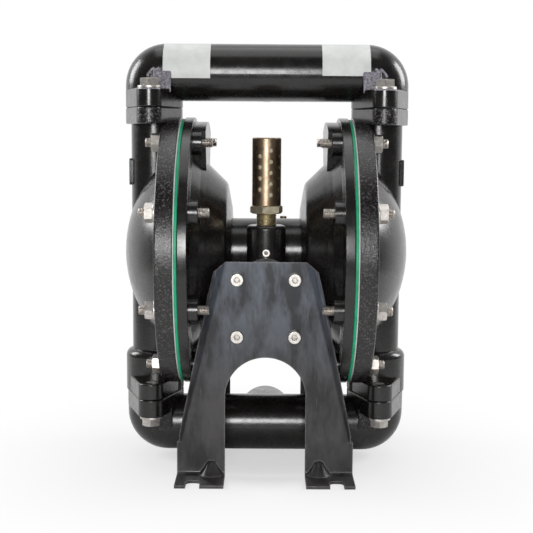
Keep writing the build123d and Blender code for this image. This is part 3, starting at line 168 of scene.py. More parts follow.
def apply(piece, kind, **settings):
    """Adds a modifier with these settings and applies it."""
    pick(piece)
    modifier = piece.modifiers.new(kind.title(), kind)
    for key, value in settings.items():
        setattr(modifier, key, value)
    bpy.ops.object.modifier_apply(modifier=modifier.name)
    return piece


def clean(piece, merge=1e-6):
    """Merges double points, removes loose edges and turns all faces outwards."""
    edit_all(piece)
    bpy.ops.mesh.remove_doubles(threshold=merge)
    bpy.ops.mesh.delete_loose(use_verts=True, use_edges=True, use_faces=False)
    bpy.ops.mesh.select_all(action="SELECT")
    bpy.ops.mesh.normals_make_consistent(inside=False)
    leave()
    return piece


def combine(piece, others, operation):
    """Runs one exact boolean after another, and merges the tiny slivers that each leaves behind."""
    for other in others:
        apply(piece, "BOOLEAN", object=other, operation=operation, solver="EXACT")
        bpy.data.objects.remove(other)
        clean(piece)
    return piece


def weld(piece, *others):
    """Adds overlapping closed shapes to a piece."""
    return combine(piece, others, "UNION")


def cut(piece, *others):
    """Takes closed shapes out of a piece, as a drill or a core would."""
    return combine(piece, others, "DIFFERENCE")


def trim(piece, *others):
    """Keeps only what lies inside the other shapes, as a lathe would."""
    return combine(piece, others, "INTERSECT")


def sliced(piece, place, way):
    """Cuts a closed shape off flat at a place, and keeps the side that the way points to."""
    edit_all(piece)
    bpy.ops.mesh.bisect(plane_co=place, plane_no=way, use_fill=True, clear_inner=True)
    leave()
    return clean(piece)


def together(name, *pieces):
    """Joins separate pieces into one object."""
    pick(*pieces)
    bpy.ops.object.join()
    whole = bpy.context.object
    whole.name = name
    return whole


def soften(piece, width, steps=2, angle=40):
    """Rounds every edge that is sharper than an angle."""
    return apply(
        piece, "BEVEL", width=width, segments=steps, limit_method="ANGLE", angle_limit=radians(angle)
    )


def duplicate(piece, name, matrix):
    """A copy with its own mesh, put somewhere else. A mirrored copy has its faces turned back."""
    twin = piece.copy()
    twin.data = piece.data.copy()
    twin.name = name
    bpy.context.scene.collection.objects.link(twin)
    twin.data.transform(matrix)
    if matrix.determinant() < 0:
        twin.data.flip_normals()
    return twin


print("edit helpers ready, one piece at a time")

# %% [markdown]
# Three ways of making a solid cover nearly the whole pump. A turned shape starts as a ring whose
# corners are moved onto a profile and is then spun, as on a lathe. A plate starts as a flat ring of
# corners and is extruded. A loft starts as a grid whose rows are moved onto rings along a path.

# %% Turned shapes, plates and lofts
def rounded(corners, radii):
    """Points of a closed outline whose corners are rounded by these radii."""
    points = []
    for k, (corner, radius) in enumerate(zip(corners, radii)):
        here = Vector(corner)
        if radius == 0:
            points.append(here)
            continue
        before = (Vector(corners[k - 1]) - here).normalized()
        after = (Vector(corners[(k + 1) % len(corners)]) - here).normalized()
        half = before.angle(after) / 2
        middle = here + (before + after).normalized() * radius / sin(half)
        first = here + before * radius / tan(half) - middle
        last = here + after * radius / tan(half) - middle
        turn = atan2(first.x * last.y - first.y * last.x, first.dot(last))
        steps = max(2, round(abs(turn) / radians(12)))
        for step in range(steps + 1):
            a = turn * step / steps
            along = first.x * cos(a) - first.y * sin(a)
            across = first.x * sin(a) + first.y * cos(a)
            points.append(middle + Vector((along, across)))
    return points


def corner_ring(name, places, fill="NOTHING"):
    """A ring primitive with each of its corners moved to its place."""
    bpy.ops.mesh.primitive_circle_add(vertices=len(places), fill_type=fill)
    ring = bpy.context.object
    ring.name = name
    for vertex, place in zip(ring.data.vertices, places):
        vertex.co = place
    return ring


def turned(name, profile, centre, along, out, steps=96):
    """Spins a closed profile of (along, out) lengths round an axis."""
    piece = corner_ring(name, [centre + along * a + out * r for a, r in profile])
    edit_all(piece)
    bpy.ops.mesh.spin(steps=steps, angle=2 * pi, center=centre, axis=along)
    return clean(piece)


def plate(name, outline, place, thickness, rim=0.0, rim_steps=3):
    """Pulls a flat outline out along the normal of its place, and rounds its rims."""
    normal = place.to_3x3() @ Z_WAY
    slab = corner_ring(name, [place @ Vector((x, y, 0)) for x, y in outline], "NGON")
    edit_all(slab)
    bpy.ops.mesh.extrude_region_move(
        TRANSFORM_OT_translate={"value": tuple(normal * thickness), "orient_type": "GLOBAL"}
    )
    clean(slab)
    if rim:
        soften(slab, rim, rim_steps, 60)
    return slab


def loft(name, rings):
    """A closed skin through rings of points, with its seam merged and its ends filled."""
    width = len(rings[0]) + 1
    bpy.ops.mesh.primitive_grid_add(x_subdivisions=width - 1, y_subdivisions=len(rings) - 1)
    skin = bpy.context.object
    skin.name = name
    for k, vertex in enumerate(skin.data.vertices):
        ring = rings[k // width]
        vertex.co = ring[k % width % len(ring)]
    edit_all(skin)
    bpy.ops.mesh.remove_doubles(threshold=1e-6)
    bpy.ops.mesh.select_all(action="DESELECT")
    bpy.ops.mesh.select_non_manifold(
        extend=False, use_wire=False, use_boundary=True, use_multi_face=False,
        use_non_contiguous=False, use_verts=False,
    )
    bpy.ops.mesh.edge_face_add()
    leave()
    return clean(skin)


def bar(name, start, end, radius, sides=48):
    """A round bar between two points, made as a loft of two rings."""
    start, end = Vector(start), Vector(end)
    along = (end - start).normalized()
    side = along.orthogonal().normalized()
    up = along.cross(side)
    turns = [2 * pi * k / sides for k in range(sides)]
    spokes = [(side * cos(t) + up * sin(t)) * radius for t in turns]
    return loft(name, [[start + s for s in spokes], [end + s for s in spokes]])


def facing(origin, x_way, normal):
    """A place for a plate whose outline's X runs along x_way and which is pulled along normal."""
    y_way = normal.cross(x_way)
    return Matrix.Translation(origin) @ Matrix((x_way, y_way, normal)).transposed().to_4x4()


print("solid makers ready: turned, plate, loft and bar")

# %% [markdown]
# The manifold is a cast tube with a tight elbow at each end. The inside corner of the elbow is sharper
# than the tube is thick, so each line along the skin either rounds the outside of the bend or runs to
# the mitre on the inside and turns there. A loft with many rings at the bend can hold both.

# %% Manifold tube
ELBOW_R = 14 * mm
TURN_X = LEG_X - ELBOW_R
TURN_Z = TUBE_Z - ELBOW_R
BEND_STEPS = 14


def manifold_tube(name, radius, end_z, sides=72):
    """One closed tube from the foot of the left leg, over the top, to the foot of the right leg."""
    angles = [2 * pi * k / sides for k in range(sides)]
    reach = [(radius * cos(a), radius * sin(a) + ELBOW_R) for a in angles]
    rings = []
    for side in (-1, 1):
        half = []
        for step in range(BEND_STEPS + 1):
            turn = pi / 2 * step / BEND_STEPS
            ring = []
            for y, s in reach:
                over, up = (s * sin(turn), s * cos(turn)) if s > 0 else (s, s)
                ring.append(at(side * (TURN_X + over), y, TURN_Z + up))
            half.append(ring)
        half.append([at(side * (TURN_X + s), y, end_z) for y, s in reach])
        rings += half[::-1] if side < 0 else half
    return loft(name, rings)


print("elbows start", round(TURN_X / mm, 1), "mm from the middle, wall",
      round((TUBE_R - BORE_R) / mm), "mm")

# %% [markdown]
# The joint flange is a round middle with a lug at either end, and straight sides that touch both
# circles. The same outline serves the manifolds and the fluid caps, so it is worked out once. It stands
# a hair proud of the tube, because a boolean goes wrong where two walls nearly lie on each other.

# %% Two-lug flange
FLANGE_R = TUBE_R + 0.15 * mm


def flange_outline():
    """Outline round the leg and both bolt lugs, centred on the leg."""
    lean = asin((FLANGE_R - LUG_R) / LUG_Y)
    points = []
    for centre, radius, start, end in (
        (0, FLANGE_R, -lean, lean),
        (LUG_Y, LUG_R, lean, pi - lean),
        (0, FLANGE_R, pi - lean, pi + lean),
        (-LUG_Y, LUG_R, pi + lean, 2 * pi - lean),
    ):
        steps = 10 if radius == FLANGE_R else 18
        for step in range(steps + 1):
            a = start + (end - start) * step / steps
            points.append((radius * cos(a), centre + radius * sin(a)))
    return points


def joint_flange(side, z, thickness):
    """A joint flange whose lower face is at a height."""
    place = Matrix.Translation(at(side * LEG_X, 0, z))
    return plate("flange", flange_outline(), place, thickness, 1.5 * mm)


print("flange outline of", len(flange_outline()), "points")

# %% [markdown]
# Both manifolds come from one pattern, upright on top and turned over below. On top the legs are
# bored out for the valve balls, which lift into them. Below, each leg has a pocket for a valve seat.

# %% Manifold castings
PORT_BOSS_R = 29 * mm
PORT_FACE_Y = 48 * mm
GUSSET_OUTLINE = rounded(
    [(-37 * mm, 15 * mm), (37 * mm, 15 * mm), (30 * mm, 38 * mm), (24 * mm, 44 * mm),
     (-24 * mm, 44 * mm), (-30 * mm, 38 * mm)],
    [0, 0, 2 * mm, 1 * mm, 1 * mm, 2 * mm],
)
PORT_BORE_R = BORE_R - 0.4 * mm
PORT_THREAD_R = 22.42 * mm
PORT_THREAD_Y = 28 * mm
MANIFOLD_HOLE_R = 6.5 * mm


def manifold_casting(name, mouth_radius, mouth_depth):
    """Tube, flanges, gussets and port boss of the upper manifold, with all its holes."""
    body = manifold_tube(name, TUBE_R, JOINT_Z + 2 * mm)
    for side in (-1, 1):
        corner = at(side * 108.5 * mm - 9.5 * mm, 0, JOINT_Z)
        gusset = plate("gusset", GUSSET_OUTLINE, facing(corner, Y_WAY, X_WAY), 19 * mm, 1.2 * mm)
        weld(body, joint_flange(side, JOINT_Z, TOP_FLANGE), gusset)
    boss_profile = rounded(
        [(0, 0), (PORT_FACE_Y, 0), (PORT_FACE_Y, PORT_BOSS_R), (0, PORT_BOSS_R)], [0, 0, 1.5 * mm, 0]
    )
    middle = at(0, 0, TUBE_Z)
    weld(body, turned("port_boss", boss_profile, middle, Y_WAY, Z_WAY, 64))
    cut(body, manifold_tube("core", BORE_R, JOINT_Z - 1 * mm))
    mouth = middle + Y_WAY * 49 * mm
    cut(body, bar("port_bore", middle, mouth, PORT_BORE_R, 64))
    cut(body, bar("port_thread", middle + Y_WAY * PORT_THREAD_Y, mouth, PORT_THREAD_R, 64))
    for side in (-1, 1):
        foot = at(side * LEG_X, 0, JOINT_Z - 1 * mm)
        cut(body, bar("mouth", foot, foot + Z_WAY * (mouth_depth + 1 * mm), mouth_radius))
        for lug in (-LUG_Y, LUG_Y):
            start = foot + Y_WAY * lug
            cut(body, bar("bolt_hole", start, start + Z_WAY * 21 * mm, MANIFOLD_HOLE_R, 32))
    return body


outlet_casting = manifold_casting("outlet_casting", BALL_CAGE_R, TOP_FLANGE)
pattern = manifold_casting("pattern", SEAT_POCKET_R, SEAT_POCKET_DEPTH)
inlet_casting = duplicate(pattern, "inlet_casting", TURN_OVER)
bpy.data.objects.remove(pattern)
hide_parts("outlet_manifold")
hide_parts("inlet_manifold")
print("manifold faces", len(outlet_casting.data.polygons), len(inlet_casting.data.polygons))

# %% [markdown]
# A fluid cap is a shallow dome with a thick clamp flange. A column rises from it to the upper joint,
# and a round ball chamber hangs below. The dome is turned and the rest is welded on, each sliced off
# just behind the clamp face first. The pumping chamber, ducts and pockets are cut out last, in the
# order in which cores shape the real casting.

# %% Fluid caps
DOME_R = 134 * mm
DOME_X = 16 * mm
BOWL_R = 127 * mm
COLUMN_R = 24.5 * mm
COLUMN_FOOT = 30 * mm
DUCT_R = 19 * mm
CAP_HOLE_R = 6.1 * mm
SLICE_X = FLUID_FACE_X + 0.2 * mm
SHOULDER = rounded(
    [(0, 0), (45 * mm, 0), (45 * mm, 31.5 * mm), (0, 31.5 * mm)], [0, 0, 8 * mm, 0.5 * mm]
)


def dome_arc(radius, end_x, steps=28):
    """Points of a dome's arc, from its apex to where it reaches end_x."""
    last = acos((end_x - DOME_X) / radius)
    angles = [last * k / steps for k in range(steps + 1)]
    return [(DOME_X + radius * cos(a), radius * sin(a)) for a in angles]


def clamp_flange_rim():
    """The flange part of the dome's profile, with a soft cast corner and a sharper clamp edge."""
    corners = [
        (CAP_FLANGE_X, RIM_R - 20 * mm), (CAP_FLANGE_X, RIM_R), (FLUID_FACE_X, RIM_R),
        (FLUID_FACE_X, 0),
    ]
    return rounded(corners, [0, 2 * mm, 0.8 * mm, 0])


def fluid_cap(name):
    """The right-hand fluid cap."""
    profile = dome_arc(DOME_R, CAP_FLANGE_X) + clamp_flange_rim()
    body = turned(name, profile, at(0, 0, 0), X_WAY, Z_WAY, 128)
    foot = at(LEG_X, 0, -JOINT_Z)
    top = at(LEG_X, 0, JOINT_Z)
    behind = at(SLICE_X, 0, 0)
    weld(body, sliced(turned("chamber", SHOULDER, foot, Z_WAY, X_WAY, 72), behind, X_WAY))
    weld(body, bar("column", at(LEG_X, 0, COLUMN_FOOT), top - Z_WAY * 2 * mm, COLUMN_R, 64))
    weld(body, bar("column", foot + Z_WAY * 2 * mm, at(LEG_X, 0, -COLUMN_FOOT), COLUMN_R, 64))
    for z in (JOINT_Z - CAP_FLANGE, -JOINT_Z):
        weld(body, sliced(joint_flange(1, z, CAP_FLANGE), behind, X_WAY))
    pad = rounded([(-11 * mm, 70 * mm), (11 * mm, 70 * mm), (11 * mm, 98 * mm), (-11 * mm, 98 * mm)],
                  [2.7 * mm] * 4)
    weld(body, plate("pad", pad, facing(at(LEG_X, 0, 0), Y_WAY, X_WAY), 26 * mm, 0.5 * mm))
    bowl = dome_arc(BOWL_R, FLUID_FACE_X + 7 * mm) + [
        (FLUID_FACE_X, 110 * mm), (FLUID_FACE_X - 1 * mm, 110 * mm), (FLUID_FACE_X - 1 * mm, 0)
    ]
    cut(body, turned("bowl", bowl, at(0, 0, 0), X_WAY, Z_WAY, 96))
    cut(body, bar("duct", at(LEG_X, 0, COLUMN_FOOT), top + Z_WAY * mm, DUCT_R))
    cut(body, bar("duct", foot - Z_WAY * mm, at(LEG_X, 0, -COLUMN_FOOT), DUCT_R))
    cut(body, bar("seat_pocket", top - Z_WAY * SEAT_POCKET_DEPTH, top + Z_WAY * mm, SEAT_POCKET_R, 64))
    cut(body, bar("ball_cage", foot - Z_WAY * mm, foot + Z_WAY * 38 * mm, BALL_CAGE_R, 64))
    for turn in STUD_ANGLES:
        y, z = STUD_CIRCLE_R * cos(turn), STUD_CIRCLE_R * sin(turn)
        cut(body, bar("hole", at(FLUID_FACE_X - mm, y, z), at(CAP_FLANGE_X + mm, y, z), STUD_HOLE_R, 24))
    for lug in (-LUG_Y, LUG_Y):
        for end, way in ((top, -1), (foot, 1)):
            start = end + Y_WAY * lug - Z_WAY * way * mm
            cut(body, bar("hole", start, start + Z_WAY * way * 19 * mm, CAP_HOLE_R, 32))
    return body


fluid_casting_right = fluid_cap("fluid_casting_right")
fluid_casting_left = duplicate(fluid_casting_right, "fluid_casting_left", MIRROR_X)
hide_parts("fluid_cap_right")
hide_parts("fluid_cap_left")
print("fluid cap faces", len(fluid_casting_right.data.polygons))

# %% [markdown]
# The studs carry rolled threads, which show at both ends. The Screw modifier winds a one-pitch zigzag
# into a long thread, and an Intersect boolean with a turned blank gives it clean, chamfered ends.

# %% Threads
ORIGIN = Vector((0, 0, 0))


def thread(name, radius, pitch, low, high, sides=16):
    """A threaded bar along Z from low to high, with chamfered ends."""
    depth = 0.54 * pitch
    start = low - 2 * pitch
    root = radius - depth
    ridge = corner_ring(name, [(root, 0, start), (radius, 0, start + pitch / 2), (root, 0, start + pitch)])
    for edge in ridge.data.edges:
        edge.select = set(edge.vertices) == {0, 2}
    for vertex in ridge.data.vertices:
        vertex.select = vertex.index != 1
    pick(ridge)
    bpy.ops.object.mode_set(mode="EDIT")
    bpy.ops.mesh.select_mode(type="EDGE")
    bpy.ops.mesh.delete(type="EDGE")
    bpy.ops.mesh.select_mode(type="VERT")
    leave()
    apply(
        ridge, "SCREW", axis="Z", screw_offset=pitch, iterations=int((high - low) / pitch) + 4,
        steps=sides, render_steps=sides, use_merge_vertices=True, merge_threshold=1e-6,
    )
    for end, outer in ((low - 0.5 * mm, -Z_WAY), (high + 0.5 * mm, Z_WAY)):
        edit_all(ridge)
        bpy.ops.mesh.bisect(plane_co=Z_WAY * end, plane_no=outer, use_fill=True, clear_outer=True)
        leave()
    clean(ridge)
    full = radius + 0.05 * mm
    blank = [(low, 0), (low, root), (low + depth, full), (high - depth, full), (high, root), (high, 0)]
    return trim(ridge, turned("blank", blank, ORIGIN, Z_WAY, X_WAY, 32))


stud = thread("stud", 5 * mm, 1.5 * mm, 55.5 * mm, 124.1 * mm)
print("stud faces", len(stud.data.polygons))

# %% [markdown]
# Nuts and bolt heads are hexagons whose corners are turned off to a cone. The hexagon is extruded, and
# the cone comes from another Intersect boolean. Washers are turned, with soft stamped edges.

# %% Hexagons and washers
def hexagon(name, flats, low, high, bore=0.0, both=True, turn=0.0):
    """A hexagon along Z with its corners turned off at the top, or at both ends."""
    corner = flats / sqrt(3)
    outline = [(corner * cos(pi / 3 * k + turn), corner * sin(pi / 3 * k + turn)) for k in range(6)]
    piece = plate(name, outline, Matrix.Translation((0, 0, low - mm)), high - low + 2 * mm)
    cone = 0.09 * flats
    full = corner + 0.1 * mm
    top = [(high - 0.6 * cone, full), (high, corner - cone), (high, 0)]
    foot = [(low, 0), (low, full)]
    if both:
        foot = [(low, 0), (low, corner - cone), (low + 0.6 * cone, full)]
    trim(piece, turned("blank", foot + top, ORIGIN, Z_WAY, X_WAY, 48))
    if bore:
        cut(piece, bar("bore", (0, 0, low - mm), (0, 0, high + mm), bore, 32))
    return piece


def washer(name, outer, inner, low, high):
    """A flat washer along Z with soft outer edges."""
    corners = [(low, inner), (high, inner), (high, outer), (low, outer)]
    profile = rounded(corners, [0, 0, 0.6 * mm, 0.3 * mm])
    return turned(name, profile, ORIGIN, Z_WAY, X_WAY, 40)


nut = hexagon("nut", 17 * mm, 109.7 * mm, 118.1 * mm, 5.1 * mm)
stud_washer = washer("stud_washer", 10.5 * mm, 5.1 * mm, 107.7 * mm, 109.7 * mm)
print("nut faces", len(nut.data.polygons), "washer faces", len(stud_washer.data.polygons))

# %% [markdown]
# One stud, nut and washer become eight round the clamp flange, each turned by its own angle so that
# the hexagons don't line up, as on a hand-tightened pump. The left-hand set is a mirrored copy.

# %% Fasteners round the clamp flanges
def set_of(name, one, places):
    """Copies of one fastener at all its places, as one object. The pattern is used up."""
    whole = together(name, *[duplicate(one, name, place) for place in places])
    bpy.data.objects.remove(one)
    return whole


def round_the_rim(name, node, one, twist):
    """Eight copies on the stud circle, and their mirror image, in place of two CAD nodes."""
    places = [
        Matrix.Translation(at(0, STUD_CIRCLE_R * cos(a), STUD_CIRCLE_R * sin(a)))
        @ Matrix.Rotation(pi / 2, 4, "Y")
        @ Matrix.Rotation(twist * k, 4, "Z")
        for k, a in enumerate(STUD_ANGLES)
    ]
    right = set_of(f"{name}_right", one, places)
    left = duplicate(right, f"{name}_left", MIRROR_X)
    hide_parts(f"{node}_right")
    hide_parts(f"{node}_left")
    return [right, left]


steel_sets = []
steel_sets += round_the_rim("threaded_studs", "clamp_studs", stud, 1.0)
steel_sets += round_the_rim("hex_nuts", "clamp_nuts", nut, 0.37)
steel_sets += round_the_rim("stud_washers", "clamp_washers", stud_washer, 0.0)
print("fastener sets", [piece.name for piece in steel_sets])

# %% [markdown]
# Four M12 bolts clamp each manifold. Head, shank and thread are closed shapes welded into one bolt.
# The set below is the set above turned over, with its heads pointing down.

# %% Joint bolts
WASHER_Z = JOINT_Z + TOP_FLANGE
HEAD_Z = WASHER_Z + 2.5 * mm
bolt = hexagon("bolt", 18 * mm, HEAD_Z, HEAD_Z + 7.5 * mm, both=False, turn=pi / 6)
weld(bolt, bar("shank", (0, 0, 155 * mm), (0, 0, HEAD_Z + mm), 5.98 * mm, 32))
weld(bolt, thread("bolt_thread", 6 * mm, 1.75 * mm, 134.4 * mm, 155.5 * mm))
lug_places = [at(x, y, 0) for x in (-LEG_X, LEG_X) for y in (-LUG_Y, LUG_Y)]
lug_places = [Matrix.Translation(place) for place in lug_places]
outlet_bolts = set_of("outlet_bolts", bolt, lug_places)
outlet_rings = set_of(
    "outlet_rings", washer("ring", 12 * mm, 6.5 * mm, WASHER_Z, HEAD_Z), lug_places
)
inlet_bolts = duplicate(outlet_bolts, "inlet_bolts", TURN_OVER)
inlet_rings = duplicate(outlet_rings, "inlet_rings", TURN_OVER)
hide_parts("outlet_flange_bolts")
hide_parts("outlet_flange_washers")
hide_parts("inlet_flange_bolts")
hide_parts("inlet_flange_washers")
steel_sets += [outlet_bolts, outlet_rings, inlet_bolts, inlet_rings]
print("bolt faces", len(outlet_bolts.data.polygons))

# %% [markdown]
# Each bracket is held by four M8 socket screws. The head is turned with a small chamfer, a six-sided
# socket is cut into it, and the shank ends in a short thread deep in the centre body.

# %% Bracket screws
SCREW_FACE_Y = -83.5 * mm
SCREW_PLACES = [(x, z) for x in (-29 * mm, 29 * mm) for z in (-78.9 * mm, -20.9 * mm)]
screw_profile = rounded(
    [(0, 0), (8 * mm, 0), (8 * mm, 6.5 * mm), (0, 6.5 * mm)], [0, 0, 0.7 * mm, 0.2 * mm]
)
screw = turned("screw", screw_profile, ORIGIN, Z_WAY, X_WAY, 48)
socket = plate(
    "socket",
    [(3.46 * mm * cos(pi / 3 * k), 3.46 * mm * sin(pi / 3 * k)) for k in range(6)],
    Matrix.Translation((0, 0, 3.8 * mm)), 5 * mm,
)
cut(screw, socket)
weld(screw, bar("shank", (0, 0, -46 * mm), (0, 0, 0.5 * mm), 3.98 * mm, 32))
weld(screw, thread("screw_thread", 4 * mm, 1.25 * mm, -58 * mm, -45.5 * mm))
screw_places = [
    Matrix.Translation(at(x, SCREW_FACE_Y, z)) @ Matrix.Rotation(pi / 2, 4, "X") for x, z in SCREW_PLACES
]
front_screws = set_of("front_screws", screw, screw_places)
rear_screws = duplicate(front_screws, "rear_screws", MIRROR_Y)
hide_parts("front_bracket_screws")
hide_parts("rear_bracket_screws")
steel_sets += [front_screws, rear_screws]
print("screw faces", len(front_screws.data.polygons))

# %% [markdown]
# Several castings and the sheet-metal brackets are already right in the solid model and only have
# edges that are too sharp. A copy of the CAD mesh is merged, its flat faces are joined again, and the
# Bevel modifier rounds what is left of the edges. The CAD node itself is hidden, not changed. The darts
# that stiffen each foot are pressed round, so a turned cone is welded over the plain ones.

# %% Rounded copies of CAD pieces
def rounded_copy(node, name, width, angle=50, steps=2):
    """A copy of a CAD node with its edges softened."""
    piece = bpy.data.objects.new(name, frame["nodes"][node].data.copy())
    piece.data.materials.clear()
    bpy.context.scene.collection.objects.link(piece)
    edit_all(piece)
    bpy.ops.mesh.remove_doubles(threshold=2e-6)
    bpy.ops.mesh.dissolve_limited(angle_limit=radians(1))
    bpy.ops.mesh.select_all(action="SELECT")
    bpy.ops.mesh.normals_make_consistent(inside=False)
    leave()
    if piece.data.has_custom_normals:
        bpy.ops.mesh.customdata_custom_splitnormals_clear()
    soften(piece, width, steps, angle)
    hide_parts(node)
    return piece


brackets = [
    rounded_copy("front_bracket", "front_foot_bracket", 0.5 * mm, 35),
    rounded_copy("rear_bracket", "rear_foot_bracket", 0.5 * mm, 35),
]
air_castings = [rounded_copy(f"air_cap_{side}", f"air_casting_{side}", 0.7 * mm) for side in SIDES]
valve_casting = rounded_copy("main_valve_body", "valve_casting", 0.7 * mm)
pilot_casting = rounded_copy("pilot_valve_block", "pilot_casting", 0.7 * mm)
barrel_casting = rounded_copy("centre_body", "barrel_casting", 0.6 * mm)
DART_PROFILE = [
    (2.9, 0), (2.9, 13.2), (6, 10.6), (9, 8.3), (12, 6.3), (14, 5.4), (15.4, 4.6), (16.3, 3.2),
    (16.7, 1.6), (16.8, 0),
]
for bracket, side in zip(brackets, (-1, 1)):
    for x in (-55 * mm, 55 * mm):
        heel = Vector((x, side * 83.5 * mm, 0))
        profile = [(h * mm, r * mm) for h, r in DART_PROFILE]
        dart = turned("dart", profile, heel, Z_WAY, X_WAY, 40)
        weld(bracket, sliced(dart, Vector((0, side * 81.5 * mm, 0)), Y_WAY * side))
    clean(bracket)
exhaust_screw_plug = rounded_copy("exhaust_plug", "exhaust_screw_plug", 0.3 * mm)
vent_stub = rounded_copy("vent_plug", "vent_stub", 0.3 * mm)
print("bracket faces", len(brackets[0].data.polygons))

# %% [markdown]
# The silencer screws into the exhaust boss. Its fitting has a half inch pipe thread of 14 turns to
# the inch, a hexagon for the spanner and a spigot inside the shell. The shell is a drilled brass cup.

# %% Silencer
EXHAUST_Y = -57 * mm
PIPE_R = 10.48 * mm
HEX_Z = 43.8 * mm
SHELL_Z = 52 * mm
silencer_place = Matrix.Translation(at(0, EXHAUST_Y, 0))
fitting = hexagon("brass_fitting", 30 * mm, HEX_Z, SHELL_Z, turn=radians(17))
weld(fitting, thread("pipe_thread", PIPE_R, 1.814 * mm, 19 * mm, HEX_Z + 0.4 * mm, 32))
weld(fitting, bar("spigot", (0, 0, SHELL_Z - mm), (0, 0, 60.2 * mm), 12.6 * mm, 64))
cut(fitting, bar("bore", (0, 0, 18 * mm), (0, 0, 61 * mm), 8 * mm))
fitting.data.transform(silencer_place)
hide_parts("silencer_fitting")

shell_corners = [
    (SHELL_Z, 12.7 * mm), (SHELL_Z, 14.7 * mm), (120.6 * mm, 14.7 * mm), (120.6 * mm, 0),
    (118.6 * mm, 0), (118.6 * mm, 12.7 * mm),
]
shell_profile = rounded(shell_corners, [0.3 * mm, 0.5 * mm, 1.5 * mm, 0, 0, 0.5 * mm])
shell = turned("drilled_shell", shell_profile, ORIGIN, Z_WAY, X_WAY, 96)
for column in range(8):
    turn = radians(17 + 45 * column)
    way = Vector((sin(turn), -cos(turn), 0))
    first = 63 * mm if column % 2 == 0 else 68.575 * mm
    for row in range(5 - column % 2):
        height = Z_WAY * (first + row * 11.15 * mm)
        cut(shell, bar("drill", height + way * 11 * mm, height + way * 16 * mm, 2.25 * mm, 20))
soften(shell, 0.4 * mm, 1, 50)
shell.data.transform(silencer_place)
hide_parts("silencer_shell")
print("shell faces", len(shell.data.polygons), "fitting faces", len(fitting.data.polygons))

# %% [markdown]
# Each diaphragm is clamped at its rim and carried by the plates in its middle, which travel 18 mm each
# way. The rim and the middle are turned pieces that ride on what holds them. The fold between them is
# spun as eight sectors, and each one blends from rim to plates along its own direction.

# %% Diaphragms
WEB_R = 104 * mm
FOLD_FROM, FOLD_TO, FOLD_MIDDLE_R = 66 * mm, 104 * mm, 85 * mm


def fold_points(face_x, depth, inwards=False, steps=10):
    """Points of the rolled fold's arc on one face of a diaphragm."""
    half = (FOLD_TO - FOLD_FROM) / 2
    radius = (half ** 2 + depth ** 2) / (2 * depth)
    reach = asin(half / radius)
    angles = [reach * (2 * k / steps - 1) for k in range(steps + 1)]
    points = [
        (face_x - (radius * cos(a) - radius + depth), FOLD_MIDDLE_R + radius * sin(a)) for a in angles
    ]
    return points[::-1] if inwards else points


def spun_sector(name, profile, start, end, steps):
    """A closed profile spun part of the way round the pump's axis, with both ends closed."""
    ring = corner_ring(name, [at(x, 0, r) for x, r in profile], "NGON")
    ring.data.transform(TO_AXIS @ Matrix.Rotation(start, 4, "X") @ TO_AXIS.inverted())
    edit_all(ring)
    bpy.ops.mesh.spin(steps=steps, angle=end - start, center=at(0, 0, 0), axis=X_WAY)
    return clean(ring)


def diaphragm(name, node, face_x, thickness, depth, edge):
    """Rim, eight fold sectors and the middle of one right-hand diaphragm and its mirror image."""
    back_x = face_x + thickness
    rim_profile = rounded(
        [(face_x, WEB_R), (face_x, 140 * mm), (back_x, 140 * mm), (back_x, WEB_R)], [0, edge, edge, 0]
    )
    rim = turned(f"{name}_rim_right", rim_profile, at(0, 0, 0), X_WAY, Z_WAY, 128)
    for turn in STUD_ANGLES:
        y, z = STUD_CIRCLE_R * cos(turn), STUD_CIRCLE_R * sin(turn)
        cut(rim, bar("hole", at(face_x - mm, y, z), at(back_x + mm, y, z), STUD_HOLE_R, 24))
    hole_r = 7.2 * mm
    middle = turned(
        f"{name}_middle_right",
        [(face_x, hole_r), (face_x, FOLD_FROM), (back_x, FOLD_FROM), (back_x, hole_r)],
        at(0, 0, 0), X_WAY, Z_WAY, 64,
    )
    fold = fold_points(face_x, depth) + fold_points(back_x, depth, True)
    made = [(rim, 1, None), (middle, 1, "rod")]
    for k in range(8):
        sector = spun_sector(f"{name}_fold_{k}_right", fold, k * pi / 4, (k + 1) * pi / 4, 6)
        centre = sum((vertex.co for vertex in sector.data.vertices), Vector())
        centre /= len(sector.data.vertices)
        way = Vector((0, centre.y, centre.z - AXIS_Z)).normalized()
        made.append((sector, 1, way))
    for piece, side, how in list(made):
        made.append((duplicate(piece, piece.name.replace("right", "left"), MIRROR_X), -1, how))
    for piece, side, how in made:
        where = "right" if side > 0 else "left"
        if how is None:
            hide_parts(f"{node}_{where}")
            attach(piece, ROOT)
        elif how == "rod":
            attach(piece, "rod_assembly")
        else:
            foot = at(side * face_x, 0, 0)
            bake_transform(piece, ROOT, "rod_assembly", foot + how * 94 * mm, foot + how * FOLD_FROM)
    return [piece for piece, side, how in made]


rubber_pieces = diaphragm("backup", "backup_diaphragm", AIR_FACE_X, 3 * mm, 8 * mm, 0.9 * mm)
facing_pieces = diaphragm(
    "facing", "facing_diaphragm", AIR_FACE_X + 3 * mm, 1.2 * mm, 7.7 * mm, 0.4 * mm
)
print("diaphragm pieces", len(rubber_pieces), len(facing_pieces))

# %% [markdown]
# Two thin paper-like plates are stuck to the front of the upper tube. They are left bare here. Each is
# a grid laid on the tube, given its thickness with Solidify.

